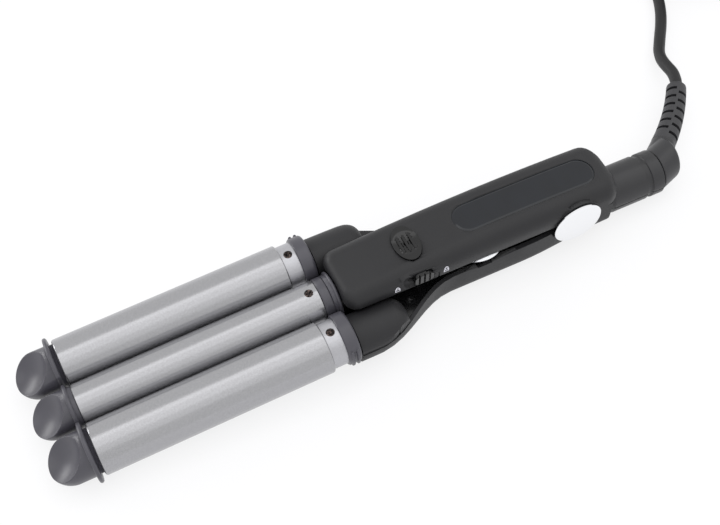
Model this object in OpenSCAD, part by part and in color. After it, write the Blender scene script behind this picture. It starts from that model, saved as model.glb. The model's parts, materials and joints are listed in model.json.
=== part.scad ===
// Three-barrel hair waver: two outer barrels on the lower arm, one between them on the upper arm.
// The hinge axis is at x = 0 while the pieces are made, the barrels reach towards -X, the cord
// leaves at +X and the table is z = 0. place() then moves everything to the middle of the tool.

/* [Barrels] */
// Diameter of the two outer barrels
outer_barrel_d = 22.5; // [21.8:0.1:24]
// Diameter of the middle barrel
middle_barrel_d = 19; // [17:0.5:21]
// Side gap between neighbouring barrels when the arms are shut
barrel_gap = 0.35; // [0.3:0.05:1.2]
// Length of the outer barrel sleeves
barrel_len = 100.8; // [80:1:140]
// Diameter of the tube inside each outer sleeve, seen as a slim neck
neck_d = 20.1; // [18:0.1:20.8]
// Length of the neck between sleeve and collar
neck_len = 6.4; // [5:0.2:10]
// Wall of the tubes
tube_wall = 1; // [0.8:0.1:1.6]
// Height of the barrel axes where they enter the handle
barrel_root_z = 18.3; // [17.8:0.1:19]

/* [Collars] */
// Diameter of the outer collars
collar_d = 22.4; // [21.8:0.1:22.4]
// Length of the outer collars
collar_len = 6; // [4:0.5:9]
// Rise of the ring behind the middle collar over the middle barrel
ring_rise = 1.1; // [0.5:0.1:1.1]
// Width of that ring
ring_w = 1.6; // [1:0.1:2]
// Diameter of the spigot that holds each collar in the handle
spigot_d = 11; // [8:0.5:12]
// Length of that spigot
spigot_len = 10; // [6:1:14]

/* [Tips] */
// Diameter of the disc at the end of each outer barrel
flange_d = 26.4; // [25:0.2:27.4]
// Diameter of the disc at the end of the middle barrel
middle_flange_d = 21.4; // [20:0.2:21.4]
// Thickness of these discs
flange_t = 1.8; // [1.2:0.1:2.6]
// Gap between each disc and its barrel
tip_gap = 1.5; // [1:0.1:3]
// Diameter of the outer domes
dome_d = 20.1; // [16:0.1:20.1]
// Diameter of the middle dome
middle_dome_d = 18.4; // [15:0.1:18.4]
// Length of the domes ahead of the disc
dome_len = 16.7; // [14:0.5:22]
// Radius of the thumb scoop in each dome
scoop_r = 16; // [14:0.5:20]

/* [Upper arm] */
// Width of the upper arm
arm_w = 30.4; // [29:0.2:32]
// Height of the highest point of its top
arm_top_z = 36.3; // [35.6:0.1:38]
// Radius of the long bow of its top, seen from the side
arm_bow_r = 820; // [700:20:1400]
// Height of its lower edge
arm_edge_z = 25.2; // [25.2:0.1:25.8]
// Radius of its two long top edges
arm_edge_r = 7; // [4:0.5:7]
// Radius of its front corners seen from above
arm_front_r = 5.5; // [4:0.5:7]
// Radius of its rear corners seen from above
arm_rear_r = 9; // [6:0.5:11]
// Radius of the top edge at its rear
arm_brow_r = 7.8; // [6:0.2:8]
// Length from the hinge to its front end
arm_front = 110; // [106:0.5:110]
// Length from the hinge to its rear end
arm_rear = 23.8; // [23.4:0.1:24.2]
// Wall of the moulded shells
shell_wall = 2; // [1.6:0.1:2.2]

/* [Lower arm] */
// Width of the lower arm in its straight part
lower_w = 29; // [28:0.2:29]
// Width across the two barrel housings
flare_w = 62.6; // [62:0.2:64]
// Height of its rim
rim_z = 18.4; // [17.8:0.1:18.6]
// Dip of the rim beside the housings
rim_dip = 2.4; // [1:0.2:3]
// Radius of its two long bottom edges
belly_r = 9; // [6:0.5:9]
// Lift of the belly under the housings
belly_lift = 3.9; // [3:0.1:4.2]
// Radius of the barrel housings
pod_r = 10.5; // [10:0.1:10.5]
// Height of the housings' centre line
pod_z = 14.4; // [14:0.1:14.6]
// Radius of the edge at the rear of each housing
pod_end_r = 6.5; // [4:0.5:8]
// Length from the hinge to the front end
lower_front = 111.4; // [111:0.1:111.6]
// Length from the hinge to the rear end
lower_rear = 22; // [21:0.5:22]

/* [Hinge] */
// Height of the hinge axis
hinge_z = 22.8; // [22:0.1:23.2]
// Diameter of the chrome cap on the near side
cap_d = 23; // [18:0.5:23]
// Diameter of the plain cap on the far side
far_cap_d = 12; // [9:0.5:12]
// Thickness of the caps at the rim
cap_t = 1.2; // [0.8:0.1:2]
// Diameter of the hinge pin
pin_d = 5; // [4:0.5:6]

/* [Controls] */
// Diameter of the temperature wheel
dial_d = 22; // [18:0.5:23]
// Thickness of the wheel
dial_t = 4.4; // [3.4:0.2:4.6]
// Grooves round the wheel
dial_grooves = 40; // [24:1:60]
// Distance of the wheel ahead of the hinge
dial_at = 44.8; // [40:0.2:50]
// Length of the lock recess
lock_len = 14.4; // [13.6:0.2:18]
// Height of the lock recess
lock_h = 7; // [6:0.2:7]
// Distance of the recess ahead of the hinge
lock_at = 77.6; // [72:0.2:82]
// Length of the lock knob
knob_len = 9.6; // [8:0.2:9.6]
// Length of the thumb rest, across the arm
rest_len = 18; // [14:0.5:20]
// Width of the thumb rest, along the arm
rest_w = 11.8; // [9:0.2:14]
// Distance of the thumb rest ahead of the hinge
rest_at = 76.3; // [72:0.5:80]
// Length of the nameplate
plate_len = 69; // [50:1:72]
// Width of the nameplate
plate_w = 14.4; // [10:0.2:15]

/* [Swivel and cord] */
// Diameter of the swivel housing
hub_d = 20.7; // [19:0.1:21]
// Height of its axis
hub_z = 11; // [10.6:0.1:11]
// Length of the housing behind the arm
hub_len = 29.8; // [28:0.2:34]
// Diameter of the stub that turns in it
stub_d = 13.1; // [11:0.1:13.5]
// Turn of the cord exit towards +Y
exit_turn = 40; // [36:1:44]
// Further turn along the strain relief
relief_bend = 16; // [8:1:20]
// Length of the ribbed strain relief
relief_len = 32; // [26:0.5:38]
// Diameter of the strain relief where it leaves the elbow
relief_d = 11; // [10:0.1:12]
// Diameter of the cord
cord_d = 5.8; // [5:0.1:6.2]
// Turns in each of the coil's four layers
coil_turns = 2.75; // [2:0.25:3]
// Radius of the coil's inner turn, to the middle of the cord
coil_in_r = 26; // [25:0.5:27]

/* [Plug] */
// Width of the plug's body
plug_w = 35; // [33:0.5:37]
// Height of the plug's body
plug_h = 14; // [12:0.5:15]
// Length of the plug's body
plug_len = 33; // [28:0.5:38]
// Diameter of the plug's pins
plug_pin_d = 4; // [4:0.1:4.8]
// Length of the pins
plug_pin_len = 19; // [18:0.5:20]
// Distance between the pins
plug_pitch = 18.6; // [17.5:0.1:19]

/* [Hidden] */
$fn = 64;
left = -1;
right = 1;

// Clearances: a press fit inside one body, a running fit, and the air between moving pieces
fit = 0.05;
run = 0.08;
air = 0.35;

// Barrels, in a frame whose x = 0 is the rear face of the outer collars
pitch_y = (outer_barrel_d + middle_barrel_d) / 2 + barrel_gap;
sleeve_rear = -collar_len - neck_len;
sleeve_front = sleeve_rear - barrel_len;
flange_x = sleeve_front - tip_gap - flange_t / 2;
barrel_root_x = -lower_front - 0.6;
// The discs touch the table, so they set how far the barrels slope down to the tips
slope = asin(barrel_root_z / norm([flange_x, flange_d / 2])) - atan2(flange_d / 2, -flange_x);
ring_x = air + 0.05;
ring_d = middle_barrel_d + 2 * ring_rise;
middle_collar_front = -collar_len + 0.9;
neck_screw_x = -collar_len - neck_len / 2;
tube_r = neck_d / 2 - tube_wall;
middle_tube_r = middle_barrel_d / 2 - tube_wall;
// The outer discs are cut straight on their inner side, clear of the middle disc
flange_cut = pitch_y - middle_flange_d / 2 - air;

// Overall length without the cord, which puts the origin in the middle of the tool
elbow_at = lower_rear + hub_len + 0.4;
tip_x = barrel_root_x + (flange_x - flange_t / 2 - dome_len) * cos(slope);
elbow_reach = elbow_at + 16.8 + (relief_d / 2 + 0.5) * sin(exit_turn);
middle_x = (tip_x + elbow_reach) / 2;

// Lower arm outline: straight part, flare to the housings, taper to the hub
flare_start = -(lower_front - 7.9);
flare_end = -59.5;
taper_start = -25;
taper_len = 47;
taper_w = 3;
function s_curve(t) = t <= 0 ? 1 : t >= 1 ? 0 : (1 + cos(180 * t)) / 2;
function flare(x) = s_curve((x - flare_start) / (flare_end - flare_start));
function half_w(x) = lower_w / 2 + (flare_w - lower_w) / 2 * flare(x)
    - taper_w * (1 - s_curve((x - taper_start) / taper_len));
function belly_z(x) = belly_lift * flare(x);
function edge_r(x) = belly_r + (pod_r - belly_r) * flare(x);
function rim_at(x) = rim_z - rim_dip * s_curve((x + 99) / 27);
stations = 26;
function spread(a, b, n) = [for (i = [0:n]) a + (b - a) * i / n];

board_z = 7;
board_t = 1.6;
plate_top = rim_z - 0.8;
cover_t = 1.8;
screw_at = [-82, 16.4];
trough_y = pod_r + 0.4;
rib_t = 1.6;
cradle_r = middle_barrel_d / 2 + 0.3;
cradle_rear = -84;
knuckle_y = 6;
lug_t = 2.6;
lug_y = knuckle_y + air;
lug_r = 6;
well_y = lug_y + lug_t + 0.5;
dial_y = -3.3;
dial_z = rim_z + 1.6;
knob_travel = lock_len - knob_len - 0.4;
lock_z = arm_edge_z + 0.4 + lock_h / 2;
lock_depth = 1.6;
lock_slot_h = 2.4;
hook_foot = 4;
relief_dir = [cos(exit_turn), sin(exit_turn), 0];
relief_base = [elbow_at + 16.8, 14.3, hub_z];
// The relief follows an arc, which starts square to the elbow
relief_arc_r = relief_len / relief_bend * 180 / PI;
relief_arc_c = relief_base + relief_arc_r * [-sin(exit_turn), cos(exit_turn), 0];
relief_turn = exit_turn + relief_bend;
relief_end = relief_arc_c + relief_arc_r * [sin(relief_turn), -cos(relief_turn), 0];
relief_end_dir = [cos(relief_turn), sin(relief_turn), 0];
relief_tip_d = relief_d - 1.6;

// The cord's route from the strain relief to the coil, points chosen by hand
lead_route = [relief_end, relief_end + 2 * relief_end_dir, [92.8, 42.4, 10.7], [94.4, 47.1, 9.9],
    [95.2, 52, 8.6], [96.4, 56.9, 6.8], [98.2, 61.5, 5.1], [100.7, 65.9, 3.8], [103.6, 69.9, 3.1],
    [106.6, 73.9, 2.9], [112.6, 82, 2.9], [117.8, 90.5, 2.9], [121.8, 99.6, 2.9], [124.6, 109.2, 2.9],
    [126, 118.5, 2.9]];
cord_r = cord_d / 2;
coil_step = cord_d + 0.6;
coil_layers = 4;
coil_rings = 24;
coil_out_r = coil_in_r + coil_step * coil_turns;
coil_centre = [126.3 + coil_out_r, 134, 0];
tail_route = [[125.3, 152.6, 21.4], [122.3, 159.8, 19.3], [117.5, 166, 16.3], [111.3, 170.8, 12.7],
    [104, 173.8, 9.1], [96.3, 174.8, 6.1], [88.8, 174.8, 4.2], [81.4, 174.8, 3.6], [77.4, 174.8, 3.9],
    [73.4, 174.8, 4.8], [69.4, 174.8, 5.8], [65.4, 174.8, 6.7], [61.4, 174.8, 7]];
plug_at = [56, 174.8];
plug_turn = 180;

function unit(v) = v / norm(v);
// Mid points of the path's tangent, for rings square to it
function tangent(p, i) = unit(p[min(i + 1, len(p) - 1)] - p[max(i - 1, 0)]);
function ring_at(c, t, r, sides) =
    let (side = unit(cross(t, [0, 0, 1])), up = cross(side, t))
    [for (k = [0:sides - 1]) c + r * (cos(360 * k / sides - 90) * side + sin(360 * k / sides - 90) * up)];

// A solid through rings of equal count; seen from its far end the points run anticlockwise
module loft(rings) {
    n = len(rings);
    m = len(rings[0]);
    polyhedron(points = [for (r = rings) each r],
        faces = concat([[for (j = [0:m - 1]) j]],
            [[for (j = [m - 1:-1:0]) (n - 1) * m + j]],
            [for (i = [0:n - 2], j = [0:m - 1]) [i * m + j, (i + 1) * m + j, (i + 1) * m + (j + 1) % m]],
            [for (i = [0:n - 2], j = [0:m - 1]) [i * m + j, (i + 1) * m + (j + 1) % m, i * m + (j + 1) % m]]));
}

module tube_along(path, r, sides) {
    loft([for (i = [0:len(path) - 1]) ring_at(path[i], tangent(path, i), r, sides)]);
}

// Moves a finished piece so that the origin lies under the middle of the tool
module place() {
    translate([-middle_x, 0, 0]) children();
}

// The frame of one barrel, x = 0 at the collars' rear face
module barrel_frame(side) {
    translate([barrel_root_x, side * pitch_y, barrel_root_z])
        rotate([0, -slope, 0])
        children();
}

module rod_x(x0, x1, r) {
    translate([x0, 0, 0]) rotate([0, 90, 0]) cylinder(h = x1 - x0, r = r);
}

module rod_y(y0, y1, r) {
    translate([0, y0, 0]) rotate([-90, 0, 0]) cylinder(h = y1 - y0, r = r);
}

module sleeve(x0, x1, d, bore) {
    edge = 0.5;
    difference() {
        rotate([0, 90, 0]) rotate_extrude()
            polygon([[0, x0], [d / 2 - edge, x0], [d / 2, x0 + edge], [d / 2, x1 - edge],
                [d / 2 - edge, x1], [0, x1]]);
        rod_x(x0 - 1, x1 + 1, bore / 2);
    }
}

module outer_barrel(side) {
    color("silver") place() barrel_frame(side) sleeve(sleeve_front, sleeve_rear, outer_barrel_d, neck_d + 2 * fit);
}

module screw_hole(r) {
    translate([neck_screw_x, 0, 0]) cylinder(h = outer_barrel_d, r = r);
}

module neck_tube(side) {
    color("gainsboro") place() barrel_frame(side) difference() {
        rod_x(sleeve_front, -collar_len, neck_d / 2);
        rod_x(sleeve_front - 1, 0, tube_r);
        screw_hole(screw_head_r + 0.1);
    }
}

screw_head_r = 1.8;
screw_shank_r = 1;

module neck_screw(side, surface_r) {
    head_t = tube_wall + 0.1;
    color("dimgray") place() barrel_frame(side) translate([neck_screw_x, 0, 0]) difference() {
        union() {
            translate([0, 0, surface_r - tube_wall]) cylinder(h = head_t - 0.3, r = screw_head_r);
            translate([0, 0, surface_r - tube_wall - 4]) cylinder(h = 4.1, r = screw_shank_r);
        }
        for (turn = [0, 90])
            translate([0, 0, surface_r - 0.25]) rotate(turn) cube([2.2, 0.5, 0.7], center = true);
    }
}

// Two short ribs on the outward side of each outer collar
module collar_lug(side) {
    span = 54;
    for (x = [-collar_len + 1.1, -collar_len / 2 + 0.4])
        translate([x, 0, 0]) rotate([0, 90, 0])
            rotate_extrude(start = side * 90 - span / 2, angle = span)
            polygon([[collar_d / 2 - 1, 0], [collar_d / 2 + 0.3, 0], [collar_d / 2 + 0.8, 0.4],
                [collar_d / 2 + 0.8, 1], [collar_d / 2 + 0.3, 1.4], [collar_d / 2 - 1, 1.4]]);
}

module outer_collar(side) {
    wire_r = 3;
    round_r = 1.4;
    color("dimgray") place() barrel_frame(side) difference() {
        union() {
            rotate([0, 90, 0]) rotate_extrude()
                polygon(concat([[0, -collar_len], [collar_d / 2 - 0.5, -collar_len],
                        [collar_d / 2, -collar_len + 0.5]],
                    [for (a = [0:15:90]) [collar_d / 2 - round_r + round_r * cos(a), -round_r + round_r * sin(a)]],
                    [[0, 0]]));
            rod_x(-collar_len - neck_len, -collar_len + 0.1, tube_r - fit);
            rod_x(-0.1, spigot_len, spigot_d / 2);
            collar_lug(side);
        }
        rod_x(-collar_len - neck_len - 1, spigot_len + 1, wire_r);
        screw_hole(screw_shank_r + fit);
    }
}

module middle_collar() {
    wire_r = 3;
    d = pitch_y * 2 - collar_d - 2 * air + 0.1;
    groove = 0.5;
    color("dimgray") place() barrel_frame(0) difference() {
        union() {
            rod_x(middle_collar_front, ring_x + 0.1, d / 2);
            sleeve(ring_x, ring_x + ring_w, ring_d, 2);
            rod_x(-collar_len - neck_len, middle_collar_front + 0.1, middle_tube_r - fit);
            rod_x(ring_x + ring_w - 0.1, ring_x + ring_w + spigot_len, spigot_d / 2);
        }
        rod_x(-collar_len - neck_len - 1, ring_x + ring_w + spigot_len + 1, wire_r);
        difference() {
            rod_x(-groove - 1, -1, d);
            rod_x(-groove - 2, 0, d / 2 - groove);
        }
        screw_hole(screw_shank_r + fit);
    }
}

// Disc, neck and hollow-faced dome that close a barrel; the scoop is where the thumb presses
module tip(side, disc_d, dome, plug_r) {
    rim = flange_t / 2;
    dome_r = dome / 2;
    front = flange_x - flange_t / 2;
    scoop_from = [front - 17.1, 0, dome_r + 3.75];
    color("dimgray") place() barrel_frame(side) difference() {
        union() {
            intersection() {
                translate([flange_x, 0, 0]) rotate([0, 90, 0]) rotate_extrude()
                    polygon(concat([[0, -rim]],
                        [for (a = [-90:22.5:90]) [disc_d / 2 - rim + rim * cos(a), rim * sin(a)]], [[0, rim]]));
                if (side != 0)
                    translate([flange_x - 5, side > 0 ? -flange_cut : -disc_d, -disc_d])
                        cube([10, disc_d + flange_cut, 2 * disc_d]);
                else
                    translate([flange_x - 5, -disc_d, -disc_d]) cube([10, 2 * disc_d, 2 * disc_d]);
            }
            rod_x(front - dome_len + dome_r, front + 0.1, dome_r);
            translate([front - dome_len + dome_r, 0, 0]) sphere(r = dome_r);
            rod_x(flange_x + rim - 0.1, sleeve_front, plug_r - 0.4 + tube_wall);
            rod_x(sleeve_front - 0.1, sleeve_front + 8, plug_r - fit);
        }
        translate(scoop_from) sphere(r = scoop_r);
    }
}

// Heating rod with two discs that carry it in its tube
module heater(side, bore_r, x1) {
    rod_r = 5;
    x0 = sleeve_front + 12;
    disc_t = 3;
    color("peru") place() barrel_frame(side) union() {
        rod_x(x0, x1, rod_r);
        rod_x(x0 + 6, x0 + 6 + disc_t, bore_r - fit);
        rod_x(x1 - 6 - disc_t, x1 - 6, bore_r - fit);
    }
}

// Rings of the lower arm's outside, or of its inside when inset is the wall
function lower_section(x, inset, top) =
    let (w = half_w(x) - inset, z0 = belly_z(x) + inset, r = min(edge_r(x) - inset, rim_at(x) - z0 - 0.5))
    concat([[x, w, top], [x, -w, top]],
        [for (a = [90:-15:0]) [x, -w + r - r * sin(a), z0 + r - r * cos(a)]],
        [for (a = [0:15:90]) [x, w - r + r * sin(a), z0 + r - r * cos(a)]]);

// Plan outline of the lower arm between two stations, drawn in by an inset
module lower_plan(x0, x1, inset) {
    xs = spread(x0, x1, stations);
    polygon(concat([for (x = xs) [x, half_w(x) - inset]],
        [for (i = [len(xs) - 1:-1:0]) [xs[i], -half_w(xs[i]) + inset]]));
}

module spigot_bore(side) {
    barrel_frame(side) rod_x(-5, spigot_len + 0.3, spigot_d / 2 + fit);
}

// Round seat of the near hinge cap, out to the width of the upper arm
module cap_seat() {
    seat_r = cap_d / 2 + 0.7;
    translate([0, 0, hinge_z]) rod_y(-arm_w / 2, -lower_w / 2 + 3, seat_r);
}

module lower_shell() {
    front_wall = 4.4;
    rear_wall = 3;
    boss_r = 3.2;
    notch = [notch_w, 1.6];
    color("#2f2f31") place() difference() {
        union() {
            difference() {
                loft([for (x = spread(-lower_front, lower_rear, stations)) lower_section(x, 0, rim_at(x))]);
                loft([for (x = spread(-lower_front + front_wall, lower_rear - rear_wall, stations))
                    lower_section(x, shell_wall, rim_z + 1)]);
            }
            // Walls between the barrel housings and the trough of the middle barrel
            for (s = [left, right])
                translate([-lower_front + 0.5, s > 0 ? trough_y : -trough_y - rib_t, belly_lift + 1])
                    cube([26, rib_t, plate_top - cover_t - 0.1 - belly_lift - 1]);
            for (s = [left, right])
                translate([screw_at[0], s * screw_at[1], 1]) cylinder(h = plate_top - cover_t - 1, r = boss_r);
            for (x = [-board_x, -board_x + board_len], s = [left, right])
                translate([x + sign(x + board_x - 1) * -4, s * 7, 1]) cylinder(h = board_z - 1, r = 2.2);
            intersection() {
                cap_seat();
                translate([-20, -40, 1]) cube([40, 80, rim_z - 1]);
            }
        }
        // Opening at the front for the middle barrel
        barrel_frame(0) rod_x(-10, 30, ring_d / 2 + 0.5);
        translate([-lower_front - 1, -trough_y, barrel_root_z]) cube([20, 2 * trough_y, 10]);
        for (s = [left, right]) spigot_bore(s);
        for (s = [left, right])
            translate([screw_at[0], s * screw_at[1], plate_top - 8]) cylinder(h = 10, r = screw_shank_r + fit);
        translate([0, 0, hub_z]) rod_x(lower_rear - 8, lower_rear + 1, hub_spigot_r + fit);
        // Notch in the rim under the wheel
        translate([-dial_at, -lower_w / 2, rim_z - notch[1]]) rotate([90, 0, 0])
            linear_extrude(height = 3 * shell_wall, center = true)
            polygon([[-notch[0] / 2 + 1, 0], [notch[0] / 2 - 1, 0], [notch[0] / 2 + 1, 4], [-notch[0] / 2 - 1, 4]]);
        // Room inside the cap seats
        translate([-seat_room / 2, -lower_w / 2 + 3, shell_wall]) cube([seat_room, lower_w - 6, rim_z]);
    }
}

board_x = 66;
board_len = 52;
board_w = 22;
seat_room = 28;
cover_front = -97;
notch_w = 8.6;
hub_spigot_r = 8.5;

module lower_inner_cover() {
    block_top = arm_edge_z - 0.8;
    block_front = 11.5;
    block_rear = arm_rear - shell_wall - 1;
    block_w = arm_w / 2 - shell_wall - 1.6;
    color("#151517") place() difference() {
        union() {
            translate([0, 0, plate_top - cover_t]) linear_extrude(height = cover_t)
                lower_plan(cover_front, lower_rear - 3.2, shell_wall + 0.1);
            // Raised block behind the hinge, which closes the gap between the arms
            intersection() {
                translate([block_front, -block_w, plate_top - 0.1])
                    cube([block_rear - block_front, 2 * block_w, block_top - plate_top + 0.1]);
                translate([0, 0, plate_top - 0.1]) linear_extrude(height = 10) arm_plan(shell_wall + 0.7);
                union() {
                    translate([0, 0, rim_z + 0.05]) linear_extrude(height = 20) square(120, center = true);
                    linear_extrude(height = 30) lower_plan(cover_front, lower_rear - 3.2, shell_wall + 0.1);
                }
            }
        }
        for (s = [left, right]) pod_shape(s, 0.1);
        // Trough of the middle barrel
        translate([-120, -trough_y, 0]) cube([120 + cradle_rear + 0.7, 2 * trough_y, 40]);
        // Room for the wall behind the near cap
        translate([-seat_room / 2, -arm_w, 0]) cube([seat_room, arm_w - lower_w / 2 + 3.1, 40]);
        // Well of the hinge
        translate([-11, -well_y, 0]) cube([22, 2 * well_y, 40]);
        // Seat of the wheel and hole for its spindle
        translate([-dial_at, dial_y, 0]) cylinder(h = 40, r = spindle_r + 0.4);
        // Catch slot, which the lock's foot passes and then slides under
        translate([catch_front, lock_hook_y - catch_w / 2, 0])
            cube([hook_foot + stem + 2.6, catch_w, 40]);
        for (s = [left, right]) translate([screw_at[0], s * screw_at[1], 0]) {
            cylinder(h = 40, r = screw_shank_r + fit);
            translate([0, 0, plate_top - 1]) cylinder(h = 4, r = cover_head_r + 0.15);
        }
        translate([0, 0, hub_z]) rod_x(0, 60, hub_spigot_r + 0.2);
    }
}

cover_head_r = 2.3;
spindle_r = 1.5;
lock_hook_y = -arm_w / 2 + 5.2;
catch_w = 3.2;
stem = 2.2;
catch_front = -lock_at + knob_travel / 2 - stem / 2 - hook_foot - 0.9;

module cover_screw(side) {
    head_t = 0.9;
    color("#202022") place() translate([screw_at[0], side * screw_at[1], 0]) difference() {
        union() {
            translate([0, 0, plate_top - 1]) cylinder(h = head_t, r = cover_head_r);
            translate([0, 0, plate_top - 7.5]) cylinder(h = 6.6, r = screw_shank_r);
        }
        for (turn = [0, 90])
            translate([0, 0, plate_top]) rotate(turn) cube([2.8, 0.6, 1], center = true);
    }
}

// The outside of one barrel housing: a bar with a rounded rear, inside the arm's outline
module pod_shape(side, grow) {
    r = pod_r + grow;
    rear = pod_rear + grow;
    intersection() {
        translate([0, side * pitch_y, pod_z]) rotate([0, 90, 0]) rotate_extrude()
            polygon(concat([[0, -lower_front], [r, -lower_front]],
                [for (a = [0:10:90]) [r - pod_end_r + pod_end_r * cos(a), rear - pod_end_r + pod_end_r * sin(a)]],
                [[0, rear]]));
        translate([0, 0, -1]) linear_extrude(height = 60) lower_plan(-lower_front - 1, pod_rear + 6, 0.4 - grow);
    }
}

pod_rear = -86.5;

module pod_cover(side) {
    wall = 1.8;
    front_wall = spigot_len - 2;
    rim_points = spread(-lower_front - 1, -70, 20);
    color("#2f2f31") place() difference() {
        intersection() {
            pod_shape(side, 0);
            rotate([90, 0, 0]) linear_extrude(height = 100, center = true)
                polygon(concat([for (x = rim_points) [x, rim_at(x)]], [[-70, 40], [-lower_front - 1, 40]]));
        }
        translate([0, side * pitch_y, pod_z]) rod_x(-lower_front + front_wall, pod_rear - pod_end_r, pod_r - wall);
        spigot_bore(side);
    }
}

// One half of the swivel's housing; the parting runs along its middle
module hub_half(upper) {
    groove = 0.9;
    groove_x = [hub_len - 9, hub_len - 5.8];
    lip = 1.2;
    inner = lower_rear + 8;
    color("#2b2b2d") place() intersection() {
        translate([lower_rear, 0, hub_z]) difference() {
            union() {
                rotate([0, 90, 0]) rotate_extrude()
                    polygon([[0, 0], [hub_d / 2 - 1, 0], [hub_d / 2 - 0.7, 2.3], [hub_d / 2, 3.6], [hub_d / 2, groove_x[0]], [hub_d / 2 - groove, groove_x[0] + 0.4],
                        [hub_d / 2 - groove, groove_x[1] - 0.4], [hub_d / 2, groove_x[1]],
                        [hub_d / 2, hub_len - 0.4], [hub_d / 2 - 0.4, hub_len], [0, hub_len]]);
                rod_x(-6, 1, hub_spigot_r);
            }
            rod_x(-10, hub_len + 1, stub_d / 2 + run);
            rod_x(8, 12, stub_d / 2 + run + lip);
            // Parting line along both sides
            for (s = [left, right])
                translate([-1, s > 0 ? hub_d / 2 - 0.4 : -hub_d / 2 - 0.6, -0.25]) cube([hub_len + 2, 1, 0.5]);
        }
        translate([0, -20, upper ? hub_z : hub_z - 20]) cube([80, 40, 20]);
    }
}

module hinge_bracket() {
    base_t = 2;
    color("gray") place() difference() {
        union() {
            translate([-9, -lug_y - lug_t, shell_wall]) cube([18, 2 * (lug_y + lug_t), base_t]);
            for (s = [left, right]) {
                translate([-lug_r, s > 0 ? lug_y : -lug_y - lug_t, shell_wall]) cube([2 * lug_r, lug_t, hinge_z - shell_wall]);
                translate([0, 0, hinge_z]) rod_y(s > 0 ? lug_y : -lug_y - lug_t, s > 0 ? lug_y + lug_t : -lug_y, lug_r);
            }
        }
        translate([0, 0, hinge_z]) rod_y(-40, 40, pin_d / 2 + fit);
    }
}

module hinge_pin() {
    reach = arm_w / 2 + 0.3;
    color("silver") place() translate([0, 0, hinge_z]) rod_y(-reach, reach, pin_d / 2);
}

module hinge_cap(side, d, dome) {
    from = arm_w / 2 + 0.3;
    r = d / 2;
    color(side == left ? "whitesmoke" : "#2f2f31") place() translate([0, side * from, hinge_z]) rotate([side * -90, 0, 0])
        rotate_extrude() polygon(concat([[0, 0], [r - 0.4, 0], [r, 0.4], [r, cap_t - 0.4], [r - 0.4, cap_t]],
            [for (i = [3:-1:0]) [r * 0.8 * i / 3, cap_t + dome * (1 - pow(0.8 * i / 3, 2))]]));
}

// Torsion spring round the pin, with one leg on each arm
spring_r = 4.5;
wire_d = 1.4;
function spring_path() =
    let (turns = 2.75, pitch = wire_d + 0.5, n = 66)
    concat([[-16, -turns * pitch / 2, hinge_z - spring_r]],
        [for (i = [0:n]) let (a = -90 - 360 * turns * i / n) [spring_r * cos(a), -turns * pitch / 2 + turns * pitch * i / n,
            hinge_z + spring_r * sin(a)]]);

module opening_spring() {
    color("silver") place() loft([for (p = [spring_path()], i = [0:len(p) - 1])
        let (t = tangent(p, i), s = unit(cross(t, [0, 1, 0.001])), u = cross(s, t))
        [for (k = [0:5]) p[i] + wire_d / 2 * (cos(60 * k) * s + sin(60 * k) * u)]]);
}

module control_board() {
    top = board_z + board_t;
    pot = 12;
    plug_block = [9, 8, 6];
    color("darkgreen") place() union() {
        translate([-board_x - 2, -board_w / 2, board_z]) cube([board_len + 4, board_w, board_t]);
        translate([-dial_at - pot / 2, dial_y - pot / 2 + 1, top - 0.1]) cube([pot, pot, 5]);
        translate([-dial_at, dial_y, top]) cylinder(h = dial_z + dial_t - 1 - top, r = spindle_r);
        translate([-board_x + 4, 0, top - 0.1]) cube(plug_block);
    }
}

// Plan outline of the upper arm with its rounded corners
module arm_plan(inset) {
    r0 = arm_front_r - inset;
    r1 = arm_rear_r - inset;
    x0 = -arm_front + inset;
    x1 = arm_rear - inset;
    w = arm_w / 2 - inset;
    for (y = [-1, 1]) translate([x0 + r0, y * (w - r0)]) circle(r = r0);
    for (y = [-1, 1]) translate([x1 - r1, y * (w - r1)]) circle(r = r1);
    translate([x0 + r0, -w]) square([x1 - x0 - r0 - r1, 2 * w]);
    translate([x0, -w + r0]) square([r0 + 1, 2 * w - 2 * r0]);
    translate([x1 - r1 - 1, -w + r1]) square([r1 + 1, 2 * w - 2 * r1]);
}

// Half width and height of the upper arm along its length; both round off towards the ends
bow_x = -25;
arm_brow_front_r = 3.5;
function round_off(x, x0, r0, x1, r1) = let (u = max(x0 + r0 - x, x - x1 + r1, 0), r = x < (x0 + x1) / 2 ? r0 : r1)
    r - sqrt(max(0, r * r - u * u));
function arm_half(x, inset) = arm_w / 2 - inset
    - round_off(x, inset - arm_front, arm_front_r - inset, arm_rear - inset, arm_rear_r - inset);
function arm_roof(x, inset) = arm_top_z - arm_bow_r + sqrt(pow(arm_bow_r, 2) - pow(x - bow_x, 2)) - inset
    - round_off(x, inset - arm_front, arm_brow_front_r - min(inset, 2.5), arm_rear - inset, arm_brow_r - inset);
function arm_ring(x, inset, low) =
    let (w = arm_half(x, inset), top = arm_roof(x, inset), r = min(arm_edge_r - inset, w - 1, top - low - 0.3))
    concat([[x, w, low]],
        [[x, -w, low]],
        [for (a = [0:10:90]) [x, -w + r - r * cos(a), top - r + r * sin(a)]],
        [for (a = [90:-10:0]) [x, w - r + r * cos(a), top - r + r * sin(a)]]);
function arm_stations(inset) =
    let (x0 = inset - arm_front, x1 = arm_rear - inset, r0 = arm_front_r - inset, r1 = arm_rear_r - inset)
    concat([for (a = [0:15:90]) x0 + r0 * (1 - cos(a))],
        [for (i = [1:8]) x0 + r0 + (x1 - r1 - x0 - r0) * i / 9],
        [for (a = [90:-10:0]) x1 - r1 * (1 - cos(a))]);

module arm_body(inset, low) {
    loft([for (x = arm_stations(inset)) [for (q = arm_ring(x, inset, low)) [q[0], -q[1], q[2]]]]);
}

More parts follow.
